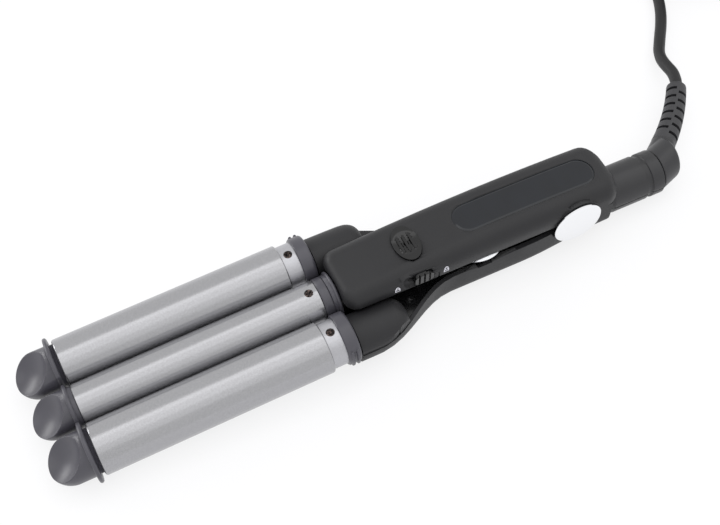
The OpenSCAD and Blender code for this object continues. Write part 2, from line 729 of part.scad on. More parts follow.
// What lies under the bow of the top, raised or lowered by an offset
module under_bow(offset) {
    translate([bow_x, 0, arm_top_z - arm_bow_r]) rod_y(-60, 60, arm_bow_r + offset, $fn = 720);
}

module pill(length, width, height) {
    for (s = [-1, 1]) translate([s * (length - width) / 2, 0, 0]) cylinder(h = height, r = width / 2);
    translate([-(length - width) / 2, -width / 2, 0]) cube([length - width, width, height]);
}

plate_x = -54 + plate_len / 2;
plate_depth = 1;

module oval(scale_by, z0, z1) {
    translate([0, 0, z0]) scale([rest_w / 2 * scale_by, rest_len / 2 * scale_by, z1 - z0]) cylinder(h = 1, r = 1);
}

// The frame of the thumb rest, flush with the sloping top
module rest_frame() {
    translate([-rest_at, 0, arm_roof(-rest_at, 0)]) rotate([0, -asin((-rest_at - bow_x) / -arm_bow_r), 0]) children();
}

module upper_shell() {
    slit = [0.8, 0.6, 3.4];
    color("#333335") place() difference() {
        union() {
            difference() {
                arm_body(0, arm_edge_z);
                arm_body(shell_wall, arm_edge_z - 1);
            }
            // Backing of the lock recess and of the two pockets in the top
            translate([-lock_at - lock_len / 2 - 1, -arm_w / 2 + 1, arm_edge_z]) cube([lock_len + 2, 2.6, lock_h + 0.4]);
            rest_frame() oval(1.15, -3, -1.1);
            intersection() {
                cap_seat();
                translate([-20, -arm_w, arm_edge_z]) cube([40, arm_w - lower_w / 2 + 1, arm_top_z - arm_edge_z - 1]);
            }
        }
        translate([0, 0, hinge_z]) rod_y(-40, 40, pin_d / 2 + run);
        // Arch over the middle barrel's cradle
        barrel_frame(0) rod_x(-5, 12, cradle_r + fit);
        difference() {
            translate([plate_x, 0, arm_top_z - 5]) pill(plate_len, plate_w, 9);
            under_bow(-plate_depth);
        }
        rest_frame() oval(1, -plate_depth, 4);
        // Lock recess, the slot behind it and the slit between recess and symbol
        translate([-lock_at, -arm_w / 2 + lock_depth, lock_z]) rotate([90, 0, 0]) pill(lock_len, lock_h, 5);
        translate([-lock_at, -arm_w / 2 + 10, lock_z]) rotate([90, 0, 0])
            pill(knob_travel + lock_slot_h + 2.4, lock_slot_h, 12);
        translate([-lock_at + lock_len / 2 + 1.8, -arm_w / 2 - 0.1, arm_edge_z - 0.1]) cube(slit);
    }
}

module upper_inner_cover() {
    plate_rear = 8;
    color("#151517") place() difference() {
        union() {
            intersection() {
                translate([0, 0, arm_edge_z]) linear_extrude(height = cover_t) arm_plan(shell_wall + 0.1);
                translate([-200, -40, 0]) cube([200 + plate_rear, 80, 60]);
            }
            // Cradle round the root of the middle barrel
            intersection() {
                barrel_frame(0) rod_x(ring_x + ring_w + 0.1, 40, cradle_r);
                translate([-arm_front + 0.1, -20, belly_lift + 2.5])
                    cube([arm_front + cradle_rear, 40, arm_edge_z + cover_t - belly_lift - 2.5]);
            }
            // Knuckle of the hinge
            translate([0, 0, hinge_z]) rod_y(-knuckle_y, knuckle_y, lug_r);
            translate([-lug_r, -knuckle_y, hinge_z]) cube([2 * lug_r, 2 * knuckle_y, arm_edge_z + cover_t - hinge_z]);
        }
        translate([0, 0, hinge_z]) rod_y(-40, 40, pin_d / 2 + run);
        // Room for the lugs beside the knuckle, and for the spring between its halves
        for (s = [left, right]) translate([-lug_r - 1.5, s > 0 ? knuckle_y : -well_y, 0]) cube([30, well_y - knuckle_y, 60]);
        translate([-11, -spring_room, 0]) cube([30, 2 * spring_room, 60]);
        spigot_bore_middle();
        // Window for the lock's hook
        translate([-lock_at - lock_len / 2, -arm_w / 2, 0]) cube([lock_len + 2, lock_room, 60]);
    }
}

spring_room = 3.5;
lock_room = 7;

module spigot_bore_middle() {
    barrel_frame(0) rod_x(0, ring_x + ring_w + spigot_len + 0.3, spigot_d / 2 + fit);
}

module nameplate() {
    bevel = 0.3;
    color("#0d0d0f") place() difference() {
        union() {
            intersection() {
                translate([plate_x, 0, arm_top_z - 5]) pill(plate_len - 0.2, plate_w - 0.2, 9);
                under_bow(-bevel);
            }
            intersection() {
                translate([plate_x, 0, arm_top_z - 5]) pill(plate_len - 0.2 - 2 * bevel, plate_w - 0.2 - 2 * bevel, 9);
                under_bow(0);
            }
        }
        under_bow(-plate_depth);
    }
}

// Gloss oval with a dished face and three ribs across the arm
module thumb_rest() {
    rise = 0.9;
    dish_r = 26;
    rib = [1.1, 8.6];
    color("#0d0d0f") place() rest_frame() union() {
        difference() {
            oval(0.985, -plate_depth, rise);
            translate([0, 0, dish_r + 0.1]) sphere(r = dish_r);
        }
        for (x = [-2.7, 0, 2.7])
            translate([x, 0, -plate_depth]) rotate(90) pill(rib[1], rib[0], plate_depth + rise);
    }
}

module middle_barrel() {
    color("silver") place() barrel_frame(0) difference() {
        sleeve(sleeve_front, middle_collar_front, middle_barrel_d, 2 * middle_tube_r);
        screw_hole(screw_head_r + 0.1);
    }
}

// Ribbed knob, stem through the arm's wall, and the hook that drops into the lower arm
module lock_slider() {
    knob_h = lock_h - 1.6;
    at_rest = -lock_at + knob_travel / 2;
    floor_y = -arm_w / 2 + lock_depth - 0.15;
    inner_y = -arm_w / 2 + 3.75;
    keeper_w = 8;
    keeper_h = 3.8;
    hook_low = plate_top - cover_t - 0.5 - foot_t;
    rib = [1.5, 0.9];
    color("#0d0d0f") place() translate([at_rest, 0, 0]) union() {
        translate([0, floor_y, lock_z]) rotate([90, 0, 0]) pill(knob_len, knob_h, lock_depth - 0.5);
        intersection() {
            translate([0, floor_y, lock_z]) rotate([90, 0, 0]) pill(knob_len, knob_h, lock_depth + 0.5);
            for (x = [-1.5:1:1.5])
                translate([x * 2.4 - rib[0] / 2, floor_y - 5, lock_z - knob_h]) cube([rib[0], 6, 2 * knob_h]);
        }
        translate([-stem / 2, floor_y - 0.5, lock_z - stem / 2]) cube([stem, inner_y - floor_y + 1, stem]);
        translate([-keeper_w / 2, inner_y, lock_z - keeper_h / 2]) cube([keeper_w, hook_t, keeper_h]);
        translate([-stem / 2, inner_y, hook_low]) cube([stem, hook_t, lock_z - hook_low]);
        translate([-stem / 2 - hook_foot, inner_y, hook_low]) cube([hook_foot + 0.1, hook_t, foot_t]);
    }
}

foot_t = 1.4;
hook_t = 1.4;

module temperature_dial() {
    groove = 0.5;
    r = dial_d / 2;
    color("gainsboro") place() translate([-dial_at, dial_y, dial_z]) difference() {
        union() {
            linear_extrude(height = dial_t) polygon([for (i = [0:2 * dial_grooves - 1])
                (r - (i % 2) * groove) * [cos(180 * i / dial_grooves), sin(180 * i / dial_grooves)]]);
            translate([0, 0, -0.9]) cylinder(h = 1, r = 4);
        }
        translate([0, 0, -2]) cylinder(h = dial_t + 4, r = spindle_r + run);
        translate([0, 0, dial_t - 0.6]) difference() {
            cylinder(h = 1, r = r - 2);
            translate([0, 0, -1]) cylinder(h = 3, r = 3.5);
        }
    }
}

// Turning elbow: a stub held in the housing and a bent body that leads the cord sideways
module swivel_elbow() {
    lip = 1.1;
    bend = [elbow_at + 9.2, 4.5, hub_z];
    color("#2b2b2d") place() union() {
        hull() {
            translate([elbow_at, 0, hub_z]) rotate([0, 90, 0]) cylinder(h = 3.2, r = hub_d / 2 - 0.3, $fn = 32);
            translate(bend) sphere(r = 7.8, $fn = 32);
        }
        hull() {
            translate(bend) sphere(r = 7.8, $fn = 32);
            translate(relief_base - 1.5 * relief_dir) rotate([0, 90, exit_turn]) cylinder(h = 1.5, r = relief_d / 2 + 0.5, $fn = 32);
        }
        translate([0, 0, hub_z]) rod_x(lower_rear + 5, elbow_at + 0.1, stub_d / 2);
        translate([0, 0, hub_z]) rod_x(lower_rear + 8.3, lower_rear + 11.7, stub_d / 2 + lip);
    }
}

// Tapering rings on a curved core, joined in turn above and beside it so that the sleeve can bend
module strain_relief() {
    rings = 7;
    step = relief_len / (rings + 0.5);
    ring_t = step * 0.62;
    core_r = relief_tip_d / 2 - 1.1;
    first_t = step;
    module at(s) {
        translate(relief_arc_c) rotate(exit_turn - 90 + relief_bend * s / relief_len)
            translate([relief_arc_r, 0, 0]) rotate([-90, 0, 0]) children();
    }
    color("#2b2b2d") place() union() {
        translate(relief_arc_c) rotate_extrude(start = exit_turn - 90, angle = relief_bend)
            translate([relief_arc_r, 0]) circle(r = core_r);
        at(0) cylinder(h = first_t, r = relief_d / 2);
        for (i = [1:rings]) {
            r = relief_d / 2 + (relief_tip_d - relief_d) / 2 * i / rings;
            at(step * (i + 0.5) - ring_t) cylinder(h = ring_t, r = r);
            at(step * (i + 0.5) - step - 0.1) intersection() {
                cylinder(h = step - ring_t + 0.2, r = r - 0.1);
                cube(i % 2 == 0 ? [2.2 * r, 3.6, 20] : [3.6, 2.2 * r, 20], center = true);
            }
        }
    }
}

function smooth_step(t) = t <= 0 ? 0 : t >= 1 ? 1 : (1 - cos(180 * t)) / 2;
// Point of the coil after some turns: it winds in and out and climbs in the half turn of each reversal
function coil_point(turns) =
    let (u = turns / coil_turns, layer = floor(min(u, coil_layers - 0.0001)), part = u - layer,
        r = layer % 2 == 0 ? coil_out_r - coil_step * coil_turns * part : coil_in_r + coil_step * coil_turns * part,
        climbed = [for (k = [1:coil_layers - 1]) smooth_step(2 * (turns - k * coil_turns) + 0.5)],
        z = cord_r + coil_step * (climbed * [for (k = [1:coil_layers - 1]) 1]), a = 180 - 360 * turns)
    coil_centre + [r * cos(a), r * sin(a), z];
coil_total = coil_turns * coil_layers;
coil_n = round(coil_total * coil_rings);
coil_start = coil_point(0);
coil_end = coil_point(coil_total);
coil_end_dir = unit(coil_point(coil_total) - coil_point(coil_total - 0.01));
coil_path = concat([coil_start - [0, cord_d, 0]], [for (i = [0:coil_n]) coil_point(coil_total * i / coil_n)],
    [coil_end + cord_d * coil_end_dir]);
lead_path = concat(lead_route, [coil_path[0] - [0, 4, 0], coil_path[0]]);
plug_dir = [cos(plug_turn), sin(plug_turn), 0];
plug_rear = [plug_at[0], plug_at[1], plug_h / 2];
tail_start = coil_end + cord_d * coil_end_dir;
tail_path = concat([tail_start, tail_start + 5 * coil_end_dir], tail_route, [plug_rear - 3 * plug_dir, plug_rear]);
tail_gap = min([for (p = [for (i = [3:len(tail_path) - 1]) tail_path[i]], q = coil_path) norm(p - q)]) - cord_d;

function path_len(p) = len(p) < 2 ? 0 : [for (i = [1:len(p) - 1]) norm(p[i] - p[i - 1])] * [for (i = [1:len(p) - 1]) 1];
// Least distance between stretches of the coil that are over half a turn apart, less the cord
function coil_gap() = min([for (i = [0:6:coil_n], j = [i + 12:3:coil_n])
    norm(coil_path[i] - coil_path[j])]) - cord_d;

module cord_lead() {
    color("#1c1c1e") place() tube_along(lead_path, cord_r, 8);
}

module cord_coil() {
    echo(coil_least_gap = coil_gap(), tail_gap = tail_gap, cord_length = path_len(lead_path) + path_len(coil_path) + path_len(tail_path));
    color("#1c1c1e") place() tube_along(coil_path, cord_r, 6);
}

module cord_tail() {
    color("#1c1c1e") place() tube_along(tail_path, cord_r, 8);
}

module plug_frame() {
    translate(plug_rear) rotate(plug_turn) children();
}

// Flat two-pin plug: a narrow neck that widens to the face
module plug_body() {
    neck_w = 12;
    color("#1c1c1e") place() plug_frame() difference() {
        translate([0, 0, -plug_h / 2]) linear_extrude(height = plug_h) polygon([[0, -neck_w / 2 + 2], [2, -neck_w / 2],
            [plug_len * 0.35, -neck_w / 2 - 1.5], [plug_len * 0.7, -plug_w / 2 + 1.5], [plug_len - 6, -plug_w / 2],
            [plug_len, -plug_w / 2], [plug_len, plug_w / 2], [plug_len - 6, plug_w / 2],
            [plug_len * 0.7, plug_w / 2 - 1.5], [plug_len * 0.35, neck_w / 2 + 1.5], [2, neck_w / 2], [0, neck_w / 2 - 2]]);
        for (s = [left, right])
            translate([0, s * plug_pitch / 2, 0]) rod_x(plug_len - pin_root - 0.1, plug_len + 1, pin_root_r + fit);
    }
}

module plug_pin(side) {
    tip_r = plug_pin_d / 2 - 0.8;
    color("silver") place() plug_frame() translate([0, side * plug_pitch / 2, 0]) rotate([0, 90, 0]) rotate_extrude()
        polygon([[0, plug_len - pin_root], [pin_root_r, plug_len - pin_root], [pin_root_r, plug_len],
            [plug_pin_d / 2, plug_len], [plug_pin_d / 2, plug_len + plug_pin_len - 1],
            [tip_r, plug_len + plug_pin_len], [0, plug_len + plug_pin_len]]);
}

pin_root = 7.9;
pin_root_r = plug_pin_d / 2 + 0.6;

lower_shell();
lower_inner_cover();
pod_cover(left);  // left_pod_cover
pod_cover(right);  // right_pod_cover
outer_barrel(left);  // left_barrel
outer_barrel(right);  // right_barrel
neck_tube(left);  // left_neck_tube
neck_tube(right);  // right_neck_tube
outer_collar(left);  // left_collar
outer_collar(right);  // right_collar
tip(left, flange_d, dome_d, tube_r);  // left_tip
tip(right, flange_d, dome_d, tube_r);  // right_tip
heater(left, tube_r, sleeve_rear - 6);  // left_heater
heater(right, tube_r, sleeve_rear - 6);  // right_heater
neck_screw(left, neck_d / 2);  // left_neck_screw
neck_screw(right, neck_d / 2);  // right_neck_screw
cover_screw(left);  // left_cover_screw
cover_screw(right);  // right_cover_screw
hub_half(false);  // hub_lower_half
hub_half(true);  // hub_upper_half
hinge_bracket();
hinge_pin();
hinge_cap(left, cap_d, 0.8);  // left_hinge_cap
hinge_cap(right, far_cap_d, 0);  // right_hinge_cap
opening_spring();
control_board();
upper_shell();
upper_inner_cover();
nameplate();
thumb_rest();
middle_barrel();
middle_collar();
tip(0, middle_flange_d, middle_dome_d, middle_tube_r);  // middle_tip
heater(0, middle_tube_r, sleeve_rear - 6);  // middle_heater
neck_screw(0, middle_barrel_d / 2);  // middle_neck_screw
lock_slider();
temperature_dial();
swivel_elbow();
strain_relief();
cord_lead();
cord_coil();
cord_tail();
plug_body();
plug_pin(left);  // left_plug_pin
plug_pin(right);  // right_plug_pin
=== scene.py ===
import json
import math

import bmesh
import bpy
from mathutils import Euler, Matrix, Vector


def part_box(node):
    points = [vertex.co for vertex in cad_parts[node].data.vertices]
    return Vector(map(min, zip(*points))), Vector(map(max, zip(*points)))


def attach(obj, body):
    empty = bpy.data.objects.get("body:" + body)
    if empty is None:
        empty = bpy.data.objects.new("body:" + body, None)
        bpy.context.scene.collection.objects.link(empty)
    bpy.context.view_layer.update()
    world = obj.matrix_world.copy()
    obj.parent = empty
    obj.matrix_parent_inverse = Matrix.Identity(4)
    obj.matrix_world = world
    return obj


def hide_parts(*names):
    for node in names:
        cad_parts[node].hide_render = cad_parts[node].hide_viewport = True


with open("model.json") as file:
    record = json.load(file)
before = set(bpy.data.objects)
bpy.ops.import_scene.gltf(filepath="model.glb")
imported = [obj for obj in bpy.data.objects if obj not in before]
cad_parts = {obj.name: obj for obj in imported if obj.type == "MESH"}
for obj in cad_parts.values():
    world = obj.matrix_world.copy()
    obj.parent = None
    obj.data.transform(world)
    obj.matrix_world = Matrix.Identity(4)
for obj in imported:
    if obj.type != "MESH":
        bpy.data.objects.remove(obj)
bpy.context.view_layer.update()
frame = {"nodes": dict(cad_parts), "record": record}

# The tool lies shut on a table and is seen from above its near side, tips to the left. The hinge
# pin is the point that both arms turn about, so every place here is measured from it.
pin_low, pin_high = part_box("hinge_pin")
hinge_x = (pin_low[0] + pin_high[0]) / 2


def place(x, y, z):
    """A place in millimetres from the hinge and the table, as metres in the part's frame."""
    return Vector((hinge_x + x / 1000, y / 1000, z / 1000))


camera_data = bpy.data.cameras.new("camera")
camera_data.lens = 62.5
camera_data.sensor_width = 36
camera_data.clip_start = 0.02
camera = bpy.data.objects.new("camera", camera_data)
camera.location = place(-221.63, -253.92, 470.82)
camera.rotation_euler = Euler((math.radians(32.94), 0, math.radians(-25.99)))
bpy.context.collection.objects.link(camera)
bpy.context.scene.camera = camera

# Mains cord: two wires in a round jacket of soft black PVC, 5.8 mm thick and 2.61 m long. It
# leaves the strain relief, drops to the table and is stored as a coil of four layers behind the
# tool, with its plug beside it. The jacket is extruded, so it is smooth and dull.
cord_thickness = 5.8
coil_x, coil_y, coil_inside, coil_outside = 169.9, 134, 26, 43.6
coil_layers, turns_a_layer, points_a_turn, layer_step = 4, 2.75, 24, 6.4
relief_end = (90.34, 38.0, 11.0)
lead = [relief_end, (91.46, 39.66, 11.0), (92.8, 42.4, 10.7), (94.4, 47.1, 9.9),
        (95.2, 52, 8.6), (96.4, 56.9, 6.8), (98.2, 61.5, 5.1), (100.7, 65.9, 3.8),
        (103.6, 69.9, 3.1), (106.6, 73.9, 2.9), (112.6, 82, 2.9), (117.8, 90.5, 2.9),
        (121.8, 99.6, 2.9), (124.6, 109.2, 2.9), (126, 118.5, 2.9), (126.3, 124.2, 2.9),
        (126.3, 128.2, 2.9)]
tail = [(125.98, 139.79, 22.1), (125.71, 144.78, 22.1), (125.3, 152.6, 21.4), (122.3, 159.8, 19.3),
        (117.5, 166, 16.3), (111.3, 170.8, 12.7), (104, 173.8, 9.1), (96.3, 174.8, 6.1),
        (88.8, 174.8, 4.2), (81.4, 174.8, 3.6), (77.4, 174.8, 3.9), (73.4, 174.8, 4.8),
        (69.4, 174.8, 5.8), (65.4, 174.8, 6.7), (61.4, 174.8, 7), (59, 174.8, 7), (56, 174.8, 7)]


def eased(t):
    """0 below 0, 1 above 1, and a smooth rise between them."""
    return 0 if t <= 0 else 1 if t >= 1 else (1 - math.cos(math.pi * t)) / 2


def coil_point(turns):
    """Where the cord is after so many turns: it winds in, climbs for half a turn, winds out."""
    winding = turns / turns_a_layer
    layer = min(math.floor(winding), coil_layers - 1)
    wound = (coil_outside - coil_inside) * (winding - layer)
    radius = coil_outside - wound if layer % 2 == 0 else coil_inside + wound
    climbs = sum(eased(2 * (turns - turns_a_layer * k) + 0.5) for k in range(1, coil_layers))
    angle = math.pi - 2 * math.pi * turns
    return (coil_x + radius * math.cos(angle), coil_y + radius * math.sin(angle),
            cord_thickness / 2 + layer_step * climbs)


coil_steps = round(coil_layers * turns_a_layer * points_a_turn)
coil = [coil_point(i / points_a_turn) for i in range(coil_steps + 1)]
cord_curve = bpy.data.curves.new("mains_cord", "CURVE")
cord_curve.dimensions = "3D"
cord_curve.bevel_depth = cord_thickness / 2000
cord_curve.bevel_resolution = 3
cord_curve.resolution_u = 4
cord_curve.use_fill_caps = True
route = cord_curve.splines.new("BEZIER")
cord_points = lead + coil + tail
route.bezier_points.add(len(cord_points) - 1)
for knot, spot in zip(route.bezier_points, cord_points):
    knot.co = place(*spot)
    knot.handle_left_type = knot.handle_right_type = "AUTO"
mains_cord = bpy.data.objects.new("mains_cord", cord_curve)
bpy.context.collection.objects.link(mains_cord)


def colour(code):
    """An sRGB hex colour as the linear values that the shaders read."""
    parts = [int(code[i:i + 2], 16) / 255 for i in (1, 3, 5)]
    return [p / 12.92 if p <= 0.04045 else ((p + 0.055) / 1.055) ** 2.4 for p in parts] + [1.0]


def add(material, kind, sockets, **settings):
    """Adds a node to a material; a socket is given a value or the output that feeds it."""
    tree = material.node_tree
    node = tree.nodes.new(kind)
    for name, value in settings.items():
        setattr(node, name, value)
    for socket, value in sockets.items():
        if isinstance(value, bpy.types.NodeSocket):
            tree.links.new(value, node.inputs[socket])
        else:
            node.inputs[socket].default_value = value
    return node


def empty_material(name):
    """A material with an empty node tree."""
    material = bpy.data.materials.new(name)
    material.use_nodes = True
    material.node_tree.nodes.clear()
    return material


def per_metre(size):
    """The scale of a pattern whose grain is so many millimetres wide."""
    return 1000 / size


# Extruded black PVC: a soft broad sheen, and a faint mottle of 2.4 mm along its length.
cord_pvc = empty_material("extruded_black_pvc")
on_piece = add(cord_pvc, "ShaderNodeTexCoord", {}).outputs["Object"]
mottle = add(cord_pvc, "ShaderNodeTexNoise",
             {"Vector": on_piece, "Scale": per_metre(2.4), "Detail": 3})
tone = add(cord_pvc, "ShaderNodeMix",
           {0: mottle.outputs[0], 6: colour("#131314"), 7: colour("#1e1e1f")}, data_type="RGBA")
dull = add(cord_pvc, "ShaderNodeMapRange", {0: mottle.outputs[0], 3: 0.42, 4: 0.58})
swell = add(cord_pvc, "ShaderNodeBump",
            {"Strength": 0.08, "Distance": 0.0002, "Height": mottle.outputs[0]})
body = add(cord_pvc, "ShaderNodeBsdfPrincipled",
           {"Base Color": tone.outputs[2], "Roughness": dull.outputs[0], "Normal": swell.outputs[0],
            "IOR": 1.5, "Specular IOR Level": 0.4})
add(cord_pvc, "ShaderNodeOutputMaterial", {"Surface": body.outputs[0]})
cord_curve.materials.append(cord_pvc)


def skin(node_name, material, edge=30, round_mm=0, flatten=False):
    """A copy of a CAD solid with its triangles joined, its edges eased and its light evened."""
    join_within, flat_within = 2e-6, math.radians(0.3)
    mesh = frame["nodes"][node_name].data.copy()
    mesh.materials.clear()
    mesh.materials.append(material)
    work = bmesh.new()
    work.from_mesh(mesh)
    for face in work.faces:
        face.material_index = 0
    bmesh.ops.remove_doubles(work, verts=work.verts, dist=join_within)
    bmesh.ops.dissolve_degenerate(work, edges=work.edges, dist=join_within / 2)
    if round_mm or flatten:
        bmesh.ops.dissolve_limit(work, angle_limit=flat_within, verts=work.verts, edges=work.edges)
    work.to_mesh(mesh)
    work.free()
    piece = bpy.data.objects.new(node_name + "_skin", mesh)
    bpy.context.collection.objects.link(piece)
    bpy.ops.object.select_all(action="DESELECT")
    piece.select_set(True)
    bpy.context.view_layer.objects.active = piece
    if round_mm:
        easing = piece.modifiers.new("eased_edges", "BEVEL")
        easing.width = round_mm / 1000
        easing.segments = 2
        easing.limit_method = "ANGLE"
        easing.angle_limit = math.radians(edge)
        bpy.ops.object.modifier_apply(modifier=easing.name)
    bpy.ops.object.shade_smooth_by_angle(angle=math.radians(edge))
    evened = piece.modifiers.new("even_light", "WEIGHTED_NORMAL")
    evened.keep_sharp = True
    bpy.ops.object.modifier_apply(modifier=evened.name)
    bodies = frame["record"]["behaviour"]["bodies"]
    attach(piece, next(name for name, nodes in bodies.items() if node_name in nodes))
    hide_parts(node_name)
    return piece


# Plug and strain relief: soft PVC moulded over the cord, as dull as its jacket, with a fine spark
# texture. That is drawn at 0.5 mm, coarser than the real 0.05 mm, so that it shows.
moulded_pvc = empty_material("moulded_black_pvc")
on_piece = add(moulded_pvc, "ShaderNodeTexCoord", {}).outputs["Object"]
grain = add(moulded_pvc, "ShaderNodeTexNoise",
            {"Vector": on_piece, "Scale": per_metre(0.5), "Detail": 2})
tone = add(moulded_pvc, "ShaderNodeMix",
           {0: grain.outputs[0], 6: colour("#2a2a2c"), 7: colour("#353538")}, data_type="RGBA")
swell = add(moulded_pvc, "ShaderNodeBump",
            {"Strength": 0.12, "Distance": 0.0001, "Height": grain.outputs[0]})
body = add(moulded_pvc, "ShaderNodeBsdfPrincipled",
           {"Base Color": tone.outputs[2], "Roughness": 0.5, "Normal": swell.outputs[0],
            "IOR": 1.5})
add(moulded_pvc, "ShaderNodeOutputMaterial", {"Surface": body.outputs[0]})
plug = skin("plug_body", moulded_pvc, round_mm=1.2)


def pick(test):
    """Selects the faces whose centre, in millimetres, and outward direction pass a test."""
    bpy.ops.mesh.select_all(action="DESELECT")
    shape = bmesh.from_edit_mesh(bpy.context.object.data)
    for face in shape.faces:
        if test(face.calc_center_median() * 1000, face.normal):
            face.select_set(True)
    bmesh.update_edit_mesh(bpy.context.object.data)


def cut(x):
    """Cuts the piece in edit mode along the plane across X at so many millimetres."""
    bpy.ops.mesh.select_all(action="SELECT")
    bpy.ops.mesh.bisect(plane_co=(x / 1000, 0, 0), plane_no=(1, 0, 0))


def finish(name, material, body, slot, *nodes, smooth=35):
    """Ends a new piece: its place goes into its mesh, and it stands in for its CAD nodes."""
    piece = bpy.context.object
    piece.name = piece.data.name = name
    bpy.ops.object.transform_apply(location=True, rotation=True, scale=True)
    piece.data.materials.clear()
    piece.data.materials.append(material)
    bpy.ops.object.shade_smooth_by_angle(angle=math.radians(smooth))
    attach(piece, body)
    if nodes:
        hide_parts(*nodes)
    return piece


# Strain relief: one tapering sleeve of the same PVC, drawn with one fixed curve where the cord
# leaves it. Short slits through its wall, in four columns staggered by half a step, are where the
# real sleeve flexes.
relief_base, relief_turn, relief_bend, relief_length = (69, 14.3, 11), 40, 16, 32
relief_root, relief_wide, relief_narrow, relief_rounding = 5.5, 5.65, 4.7, 1.4
slit_at, slit_step, slit_width, slit_depth = 1.2, 2.6, 1.6, 0.42
lowest_slit, highest_slit, slit_turn, slit_half_angle = -1, 10, 45, 38
bpy.ops.object.select_all(action="DESELECT")
bpy.ops.mesh.primitive_cone_add(
    vertices=64, radius1=relief_wide / 1000, radius2=relief_narrow / 1000,
    depth=(relief_length + relief_root) / 1000, rotation=(0, math.radians(90), 0),
    location=((relief_length - relief_root) / 2000, 0, 0))
bpy.ops.object.transform_apply(location=True, rotation=True, scale=True)
bpy.ops.object.mode_set(mode="EDIT")
bpy.ops.mesh.select_mode(type="FACE")
for level in range(lowest_slit, highest_slit + 1):
    cut(slit_at + slit_step * level - slit_width / 2)
    cut(slit_at + slit_step * level + slit_width / 2)
pick(lambda c, n: n.x > 0.9)
bpy.ops.mesh.bevel(offset=relief_rounding / 1000, segments=4, affect="EDGES")


def in_slit(c, n):
    """Whether a face of the sleeve is one that a slit takes away."""
    level = round((c.x - slit_at) / slit_step)
    centre = slit_turn if level % 2 == 0 else -slit_turn
    turn = (math.degrees(math.atan2(c.y, c.z)) - centre + 90) % 180 - 90
    return (lowest_slit <= level <= highest_slit and abs(turn) < slit_half_angle and abs(n.x) < 0.5
            and abs(c.x - slit_at - slit_step * level) < slit_width / 2)


pick(in_slit)
bpy.ops.mesh.extrude_region()
bpy.ops.transform.resize(value=(1, 1 - slit_depth, 1 - slit_depth), center_override=(0, 0, 0))
bpy.ops.object.mode_set(mode="OBJECT")
bend = bpy.context.object.modifiers.new("bend", "SIMPLE_DEFORM")
bend.deform_method = "BEND"
bend.deform_axis = "Z"
bend.angle = math.radians(relief_bend * (relief_length + relief_root) / relief_length)
bpy.ops.object.modifier_apply(modifier="bend")
bpy.context.object.rotation_euler = (0, 0, math.radians(relief_turn))
bpy.context.object.location = place(*relief_base)
relief = finish("strain_relief_sleeve", moulded_pvc, "swivel", "cord", "strain_relief")

# Plug pins: turned brass, nickel-plated in a tumbling barrel and moulded into the plug. They are
# bright, with faint marks from the barrel, drawn at 1.1 mm.
pin_nickel = empty_material("nickel_plated_brass")
on_piece = add(pin_nickel, "ShaderNodeTexCoord", {}).outputs["Object"]
marks = add(pin_nickel, "ShaderNodeTexNoise",
            {"Vector": on_piece, "Scale": per_metre(1.1), "Detail": 4})
dull = add(pin_nickel, "ShaderNodeMapRange", {0: marks.outputs[0], 3: 0.18, 4: 0.34})
body = add(pin_nickel, "ShaderNodeBsdfPrincipled",
           {"Base Color": colour("#c4c1ba"), "Metallic": 1.0, "Roughness": dull.outputs[0]})
add(pin_nickel, "ShaderNodeOutputMaterial", {"Surface": body.outputs[0]})
plug_pins = [skin("left_plug_pin", pin_nickel), skin("right_plug_pin", pin_nickel)]

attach(mains_cord, "swivel")
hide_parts("cord_lead", "cord_coil", "cord_tail")

# Lower arm's shell and the housings' covers: injection-moulded ABS, dyed through, spark-textured
# and clipped together. It is near black, with a broad soft sheen and no clear reflection. The
# texture is drawn at 0.6 mm, coarser than the real 0.05 mm, so that it shows.
matte_abs = empty_material("spark_textured_abs")
on_piece = add(matte_abs, "ShaderNodeTexCoord", {}).outputs["Object"]
grain = add(matte_abs, "ShaderNodeTexNoise",
            {"Vector": on_piece, "Scale": per_metre(0.59), "Detail": 3})
cloud = add(matte_abs, "ShaderNodeTexNoise",
            {"Vector": on_piece, "Scale": per_metre(22), "Detail": 2})
tone = add(matte_abs, "ShaderNodeMix",
           {0: cloud.outputs[0], 6: colour("#202022"), 7: colour("#262628")}, data_type="RGBA")
dull = add(matte_abs, "ShaderNodeMapRange", {0: grain.outputs[0], 3: 0.42, 4: 0.6})
swell = add(matte_abs, "ShaderNodeBump",
            {"Strength": 0.16, "Distance": 0.0001, "Height": grain.outputs[0]})
body = add(matte_abs, "ShaderNodeBsdfPrincipled",
           {"Base Color": tone.outputs[2], "Roughness": dull.outputs[0], "Normal": swell.outputs[0],
            "IOR": 1.5, "Specular IOR Level": 0.35})
add(matte_abs, "ShaderNodeOutputMaterial", {"Surface": body.outputs[0]})
lower_shell = skin("lower_shell", matte_abs, edge=35)
room_length, room_width, room_floor, belly_top, closeness = 28, 23, 2, 9, 0.05


def lines_room(face):
    """Whether a face of the lower shell lines the room that is cut out beside the hinge."""
    c, n = face.calc_center_median() * 1000, face.normal
    along = c.x - hinge_x * 1000
    side = abs(n.y) > 0.999 and abs(abs(c.y) - room_width / 2) < closeness
    end = abs(n.x) > 0.999 and abs(abs(along) - room_length / 2) < closeness
    floor = n.z > 0.999 and abs(c.z - room_floor) < closeness
    return abs(along) < room_length / 2 + 2 * closeness and (side or end or floor)


